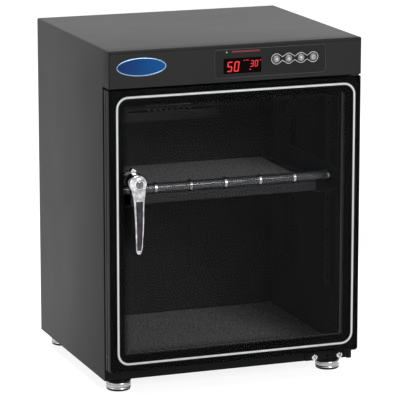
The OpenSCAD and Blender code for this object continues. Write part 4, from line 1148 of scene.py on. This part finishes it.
def add_screw(bm, x, y, z, facing=Matrix(), turn_degrees=20):
    """A pan-head screw whose head stands on a plane through the point and faces one way."""
    fresh = bmesh.new()
    head = [(SCREW_R * r, SCREW_H * h) for r, h in SCREW_HEAD]
    add_turned(fresh, (0, 0, 0), head + outline([(2, 0), (2, -3.2), (0, -3.2)]), axis="Z", steps=32)
    for arm_turn in (0, 90):
        verts = add_block(fresh, (-CROSS_R, -CROSS_HALF, SCREW_H - CROSS_DEEP),
                          (CROSS_R, CROSS_HALF, SCREW_H + CROSS_PROUD))
        # Painted shade: the cross bars take the dark steel that stands for the shade in the recess
        for f in {f for v in verts for f in v.link_faces}:
            f.material_index = 1
        bmesh.ops.rotate(fresh, verts=verts, cent=(0, 0, 0),
                         matrix=Matrix.Rotation(math.radians(arm_turn), 3, "Z"))
    turn = Matrix.Rotation(math.radians(turn_degrees), 4, "Z")
    bmesh.ops.transform(fresh, matrix=Matrix.Translation((x, y, z)) @ facing @ turn, verts=fresh.verts[:])
    add_part(bm, fresh)


bm = bmesh.new()
for share, turn in ((0.2, 25), (0.75, 50)):
    x = bracket_lo.x + (bracket_hi.x - bracket_lo.x) * share
    add_screw(bm, x, bracket_hi.y - BRACKET_T, bracket_lo.z + SCREW_R + BRACKET_EDGE, FACE_FRONT, turn)
for share in (0.2, 0.5):
    x = top_bracket_lo.x + (top_bracket_hi.x - top_bracket_lo.x) * share
    add_screw(bm, x, middle("top_hinge_bracket").y + BRACKET_EDGE / 2, header_z + sheet_t)
for side_x in (-1, 1):
    for side_z in (-1, 1):
        x = middle("rear_vent_cover").x + side_x * ((cover_hi.x - cover_lo.x) / 2 - COVER_INSET)
        z = middle("rear_vent_cover").z + side_z * ((cover_hi.z - cover_lo.z) / 2 - COVER_INSET)
        add_screw(bm, x, cover_hi.y, z, FACE_BACK, 30 * side_x + 10 * side_z)
screws = make_piece(bm, "screws_pan_head", "cabinet", "bright_steel", ["screws"])
screws.data.materials.append(FINISH["black_steel"])

# %% [markdown]
# The tray's grip bar is smoked acrylic with bright clamps round it. Each clamp is a turned band with
# rounded edges, and the inner ones have a small foot that is fixed to the tray.

# %% Bar clamps
bar_lo, bar_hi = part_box("tray_bar")
rings_lo, rings_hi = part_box("bar_rings")
tray_lo, tray_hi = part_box("tray")
RING_COUNT = 7
RING_W = 4 * MM
RING_ROUND = 0.4 * MM
TAB_IN = 1.2 * MM
TAB_D = 4 * MM
TAB_H = 7 * MM
half = RING_W / 2
bar_r = (bar_hi.z - bar_lo.z) / 2
bar_y, bar_z = bar_lo.y + bar_r, bar_lo.z + bar_r
ring_r = rings_hi.z - bar_z
tab_y = tray_lo.y + TAB_IN - bar_y
tab_top = bar_z - tray_hi.z
clamp = [(bar_r, -half), (ring_r - RING_ROUND, -half), (ring_r, RING_ROUND - half),
         (ring_r, half - RING_ROUND), (ring_r - RING_ROUND, half), (bar_r, half), (bar_r, -half)]
bm = bmesh.new()
for number in range(RING_COUNT):
    x = rings_lo.x + half + (rings_hi.x - rings_lo.x - RING_W) * number / (RING_COUNT - 1)
    ring = bmesh.new()
    add_turned(ring, (0, 0, 0), clamp, axis="Z")
    if abs(x) < tray_hi.x - RING_W:
        add_block(ring, (tab_top, tab_y, -half), (tab_top + TAB_H, tab_y + TAB_D, half))
    place = Matrix.Translation((x, bar_y, bar_z)) @ Matrix.Rotation(math.radians(90), 4, "Y")
    bmesh.ops.transform(ring, matrix=place, verts=ring.verts[:])
    add_part(bm, ring)
make_piece(bm, "bar_clamps", "tray", "handle_chrome", ["bar_rings"])

# %% [markdown]
# The mats are thick foam: soft, with a rounded upper edge, and never quite flat. A fine grid takes a
# gentle unevenness, and its rim is drawn down and in so that the edge rolls over.

# %% Foam mats
ROLL = 3 * MM


def foam_mat(node, columns, rows, swell):
    lo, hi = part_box(node)
    bm = bmesh.new()
    verts = bmesh.ops.create_grid(bm, x_segments=columns, y_segments=rows, size=0.5)["verts"]
    for vert in verts:
        x = lo.x + (vert.co.x + 0.5) * (hi.x - lo.x)
        y = lo.y + (vert.co.y + 0.5) * (hi.y - lo.y)
        edge = min(x - lo.x, hi.x - x, y - lo.y, hi.y - y)
        sink = ROLL * (1 - math.sqrt(max(0.0, 1 - (1 - min(1.0, edge / ROLL)) ** 2)))
        wave = math.sin(x * 41) * math.sin(y * 53 + 1) + 0.5 * math.sin(x * 97 + 2) * math.sin(y * 83)
        vert.co = (x, y, hi.z - sink - swell * (1 + wave / 1.5) / 2)
    skirt = bmesh.ops.extrude_edge_only(bm, edges=[e for e in bm.edges if e.is_boundary])["geom"]
    for vert in only(BMVert, skirt):
        vert.co.z = lo.z
    bmesh.ops.holes_fill(bm, edges=[e for e in bm.edges if e.is_boundary], sides=0)
    mat = make_piece(bm, f"{node}_foam", BODY_OF[node], "foam", [node])


foam_mat("floor_mat", 130, 104, 0.9 * MM)
foam_mat("tray_mat", 100, 76, 0.5 * MM)

# %% [markdown]
# The studio is plain: a pale floor and a white surround that the camera and the reflections see, a
# large soft lamp above, one from the front, one behind on the right and a weak one on the left, so
# that the glass stays black.

# %% Studio
scene = bpy.context.scene
scene.view_settings.view_transform = "Standard"


def soft_lamp(name, place, aim, size, power):
    data = bpy.data.lights.new(name, "AREA")
    data.shape = "DISK"
    data.size = size
    data.energy = power
    lamp = bpy.data.objects.new(name, data)
    lamp.location = place
    lamp.rotation_euler = (Vector(aim) - Vector(place)).to_track_quat("-Z", "Y").to_euler()
    scene.collection.objects.link(lamp)


soft_lamp("overhead", (-0.3, 0.2, 2.6), (0, 0, 0.4), 1.6, 63)
soft_lamp("left", (-2.4, -0.6, 1.2), (0, 0, 0.3), 1.4, 7)
soft_lamp("front", (0.6, -2.6, 1.5), (0, 0, 0.3), 1.2, 36)
soft_lamp("rear right", (2.3, 1.9, 1.2), (0, 0, 0.3), 1.4, 24)


def seen_by_camera(tree):
    """1 for the camera, reflections and see-through rays, 0 for the rays that light the object."""
    path = tree.nodes.new("ShaderNodeLightPath")
    first = tree.nodes.new("ShaderNodeMath")
    second = tree.nodes.new("ShaderNodeMath")
    first.operation = second.operation = "MAXIMUM"
    tree.links.new(path.outputs["Is Camera Ray"], first.inputs[0])
    tree.links.new(path.outputs["Is Glossy Ray"], first.inputs[1])
    tree.links.new(first.outputs[0], second.inputs[0])
    tree.links.new(path.outputs["Is Transmission Ray"], second.inputs[1])
    return second.outputs[0]


world = bpy.data.worlds.new("studio")
scene.world = world
world.use_nodes = True
tree = world.node_tree
tree.nodes.clear()
output = tree.nodes.new("ShaderNodeOutputWorld")
dim = tree.nodes.new("ShaderNodeBackground")
white = tree.nodes.new("ShaderNodeBackground")
mix = tree.nodes.new("ShaderNodeMixShader")
for background, strength in ((dim, 0.16), (white, 1.0)):
    background.inputs["Color"].default_value = (1, 1, 1, 1)
    background.inputs["Strength"].default_value = strength
tree.links.new(seen_by_camera(tree), mix.inputs["Fac"])
tree.links.new(dim.outputs[0], mix.inputs[1])
tree.links.new(white.outputs[0], mix.inputs[2])
tree.links.new(mix.outputs[0], output.inputs["Surface"])

floor_finish, floor_shader = plain("studio_floor", (0.3, 0.3, 0.3), 0.9)
floor_tree = floor_shader.id_data
glow = floor_tree.nodes.new("ShaderNodeMath")
glow.operation = "MULTIPLY"
glow.inputs[1].default_value = 0.88
floor_tree.links.new(seen_by_camera(floor_tree), glow.inputs[0])
floor_shader.inputs["Emission Color"].default_value = (1, 1, 1, 1)
floor_tree.links.new(glow.outputs[0], floor_shader.inputs["Emission Strength"])
bm = bmesh.new()
bmesh.ops.create_grid(bm, x_segments=2, y_segments=2, size=6)
mesh = bpy.data.meshes.new("floor")
bm.to_mesh(mesh)
bm.free()
mesh.materials.append(floor_finish)
floor = bpy.data.objects.new("floor", mesh)
scene.collection.objects.link(floor)

# %% [markdown]
# The camera stands far off to the left and looks slightly down through a long lens, where the fit of
# the cabinet's corners puts it.

# %% Camera
CAMERA_LOOKS_DOWN = 12.354
CAMERA_TURN = -20.41
camera_data = bpy.data.cameras.new("camera")
camera_data.lens = 245.2
camera_data.clip_end = 50
camera = bpy.data.objects.new("camera", camera_data)
camera.location = (-1.4364, -3.8671, 1.1588)
camera.rotation_euler = (math.radians(90 - CAMERA_LOOKS_DOWN), 0, math.radians(CAMERA_TURN))
scene.collection.objects.link(camera)
scene.camera = camera
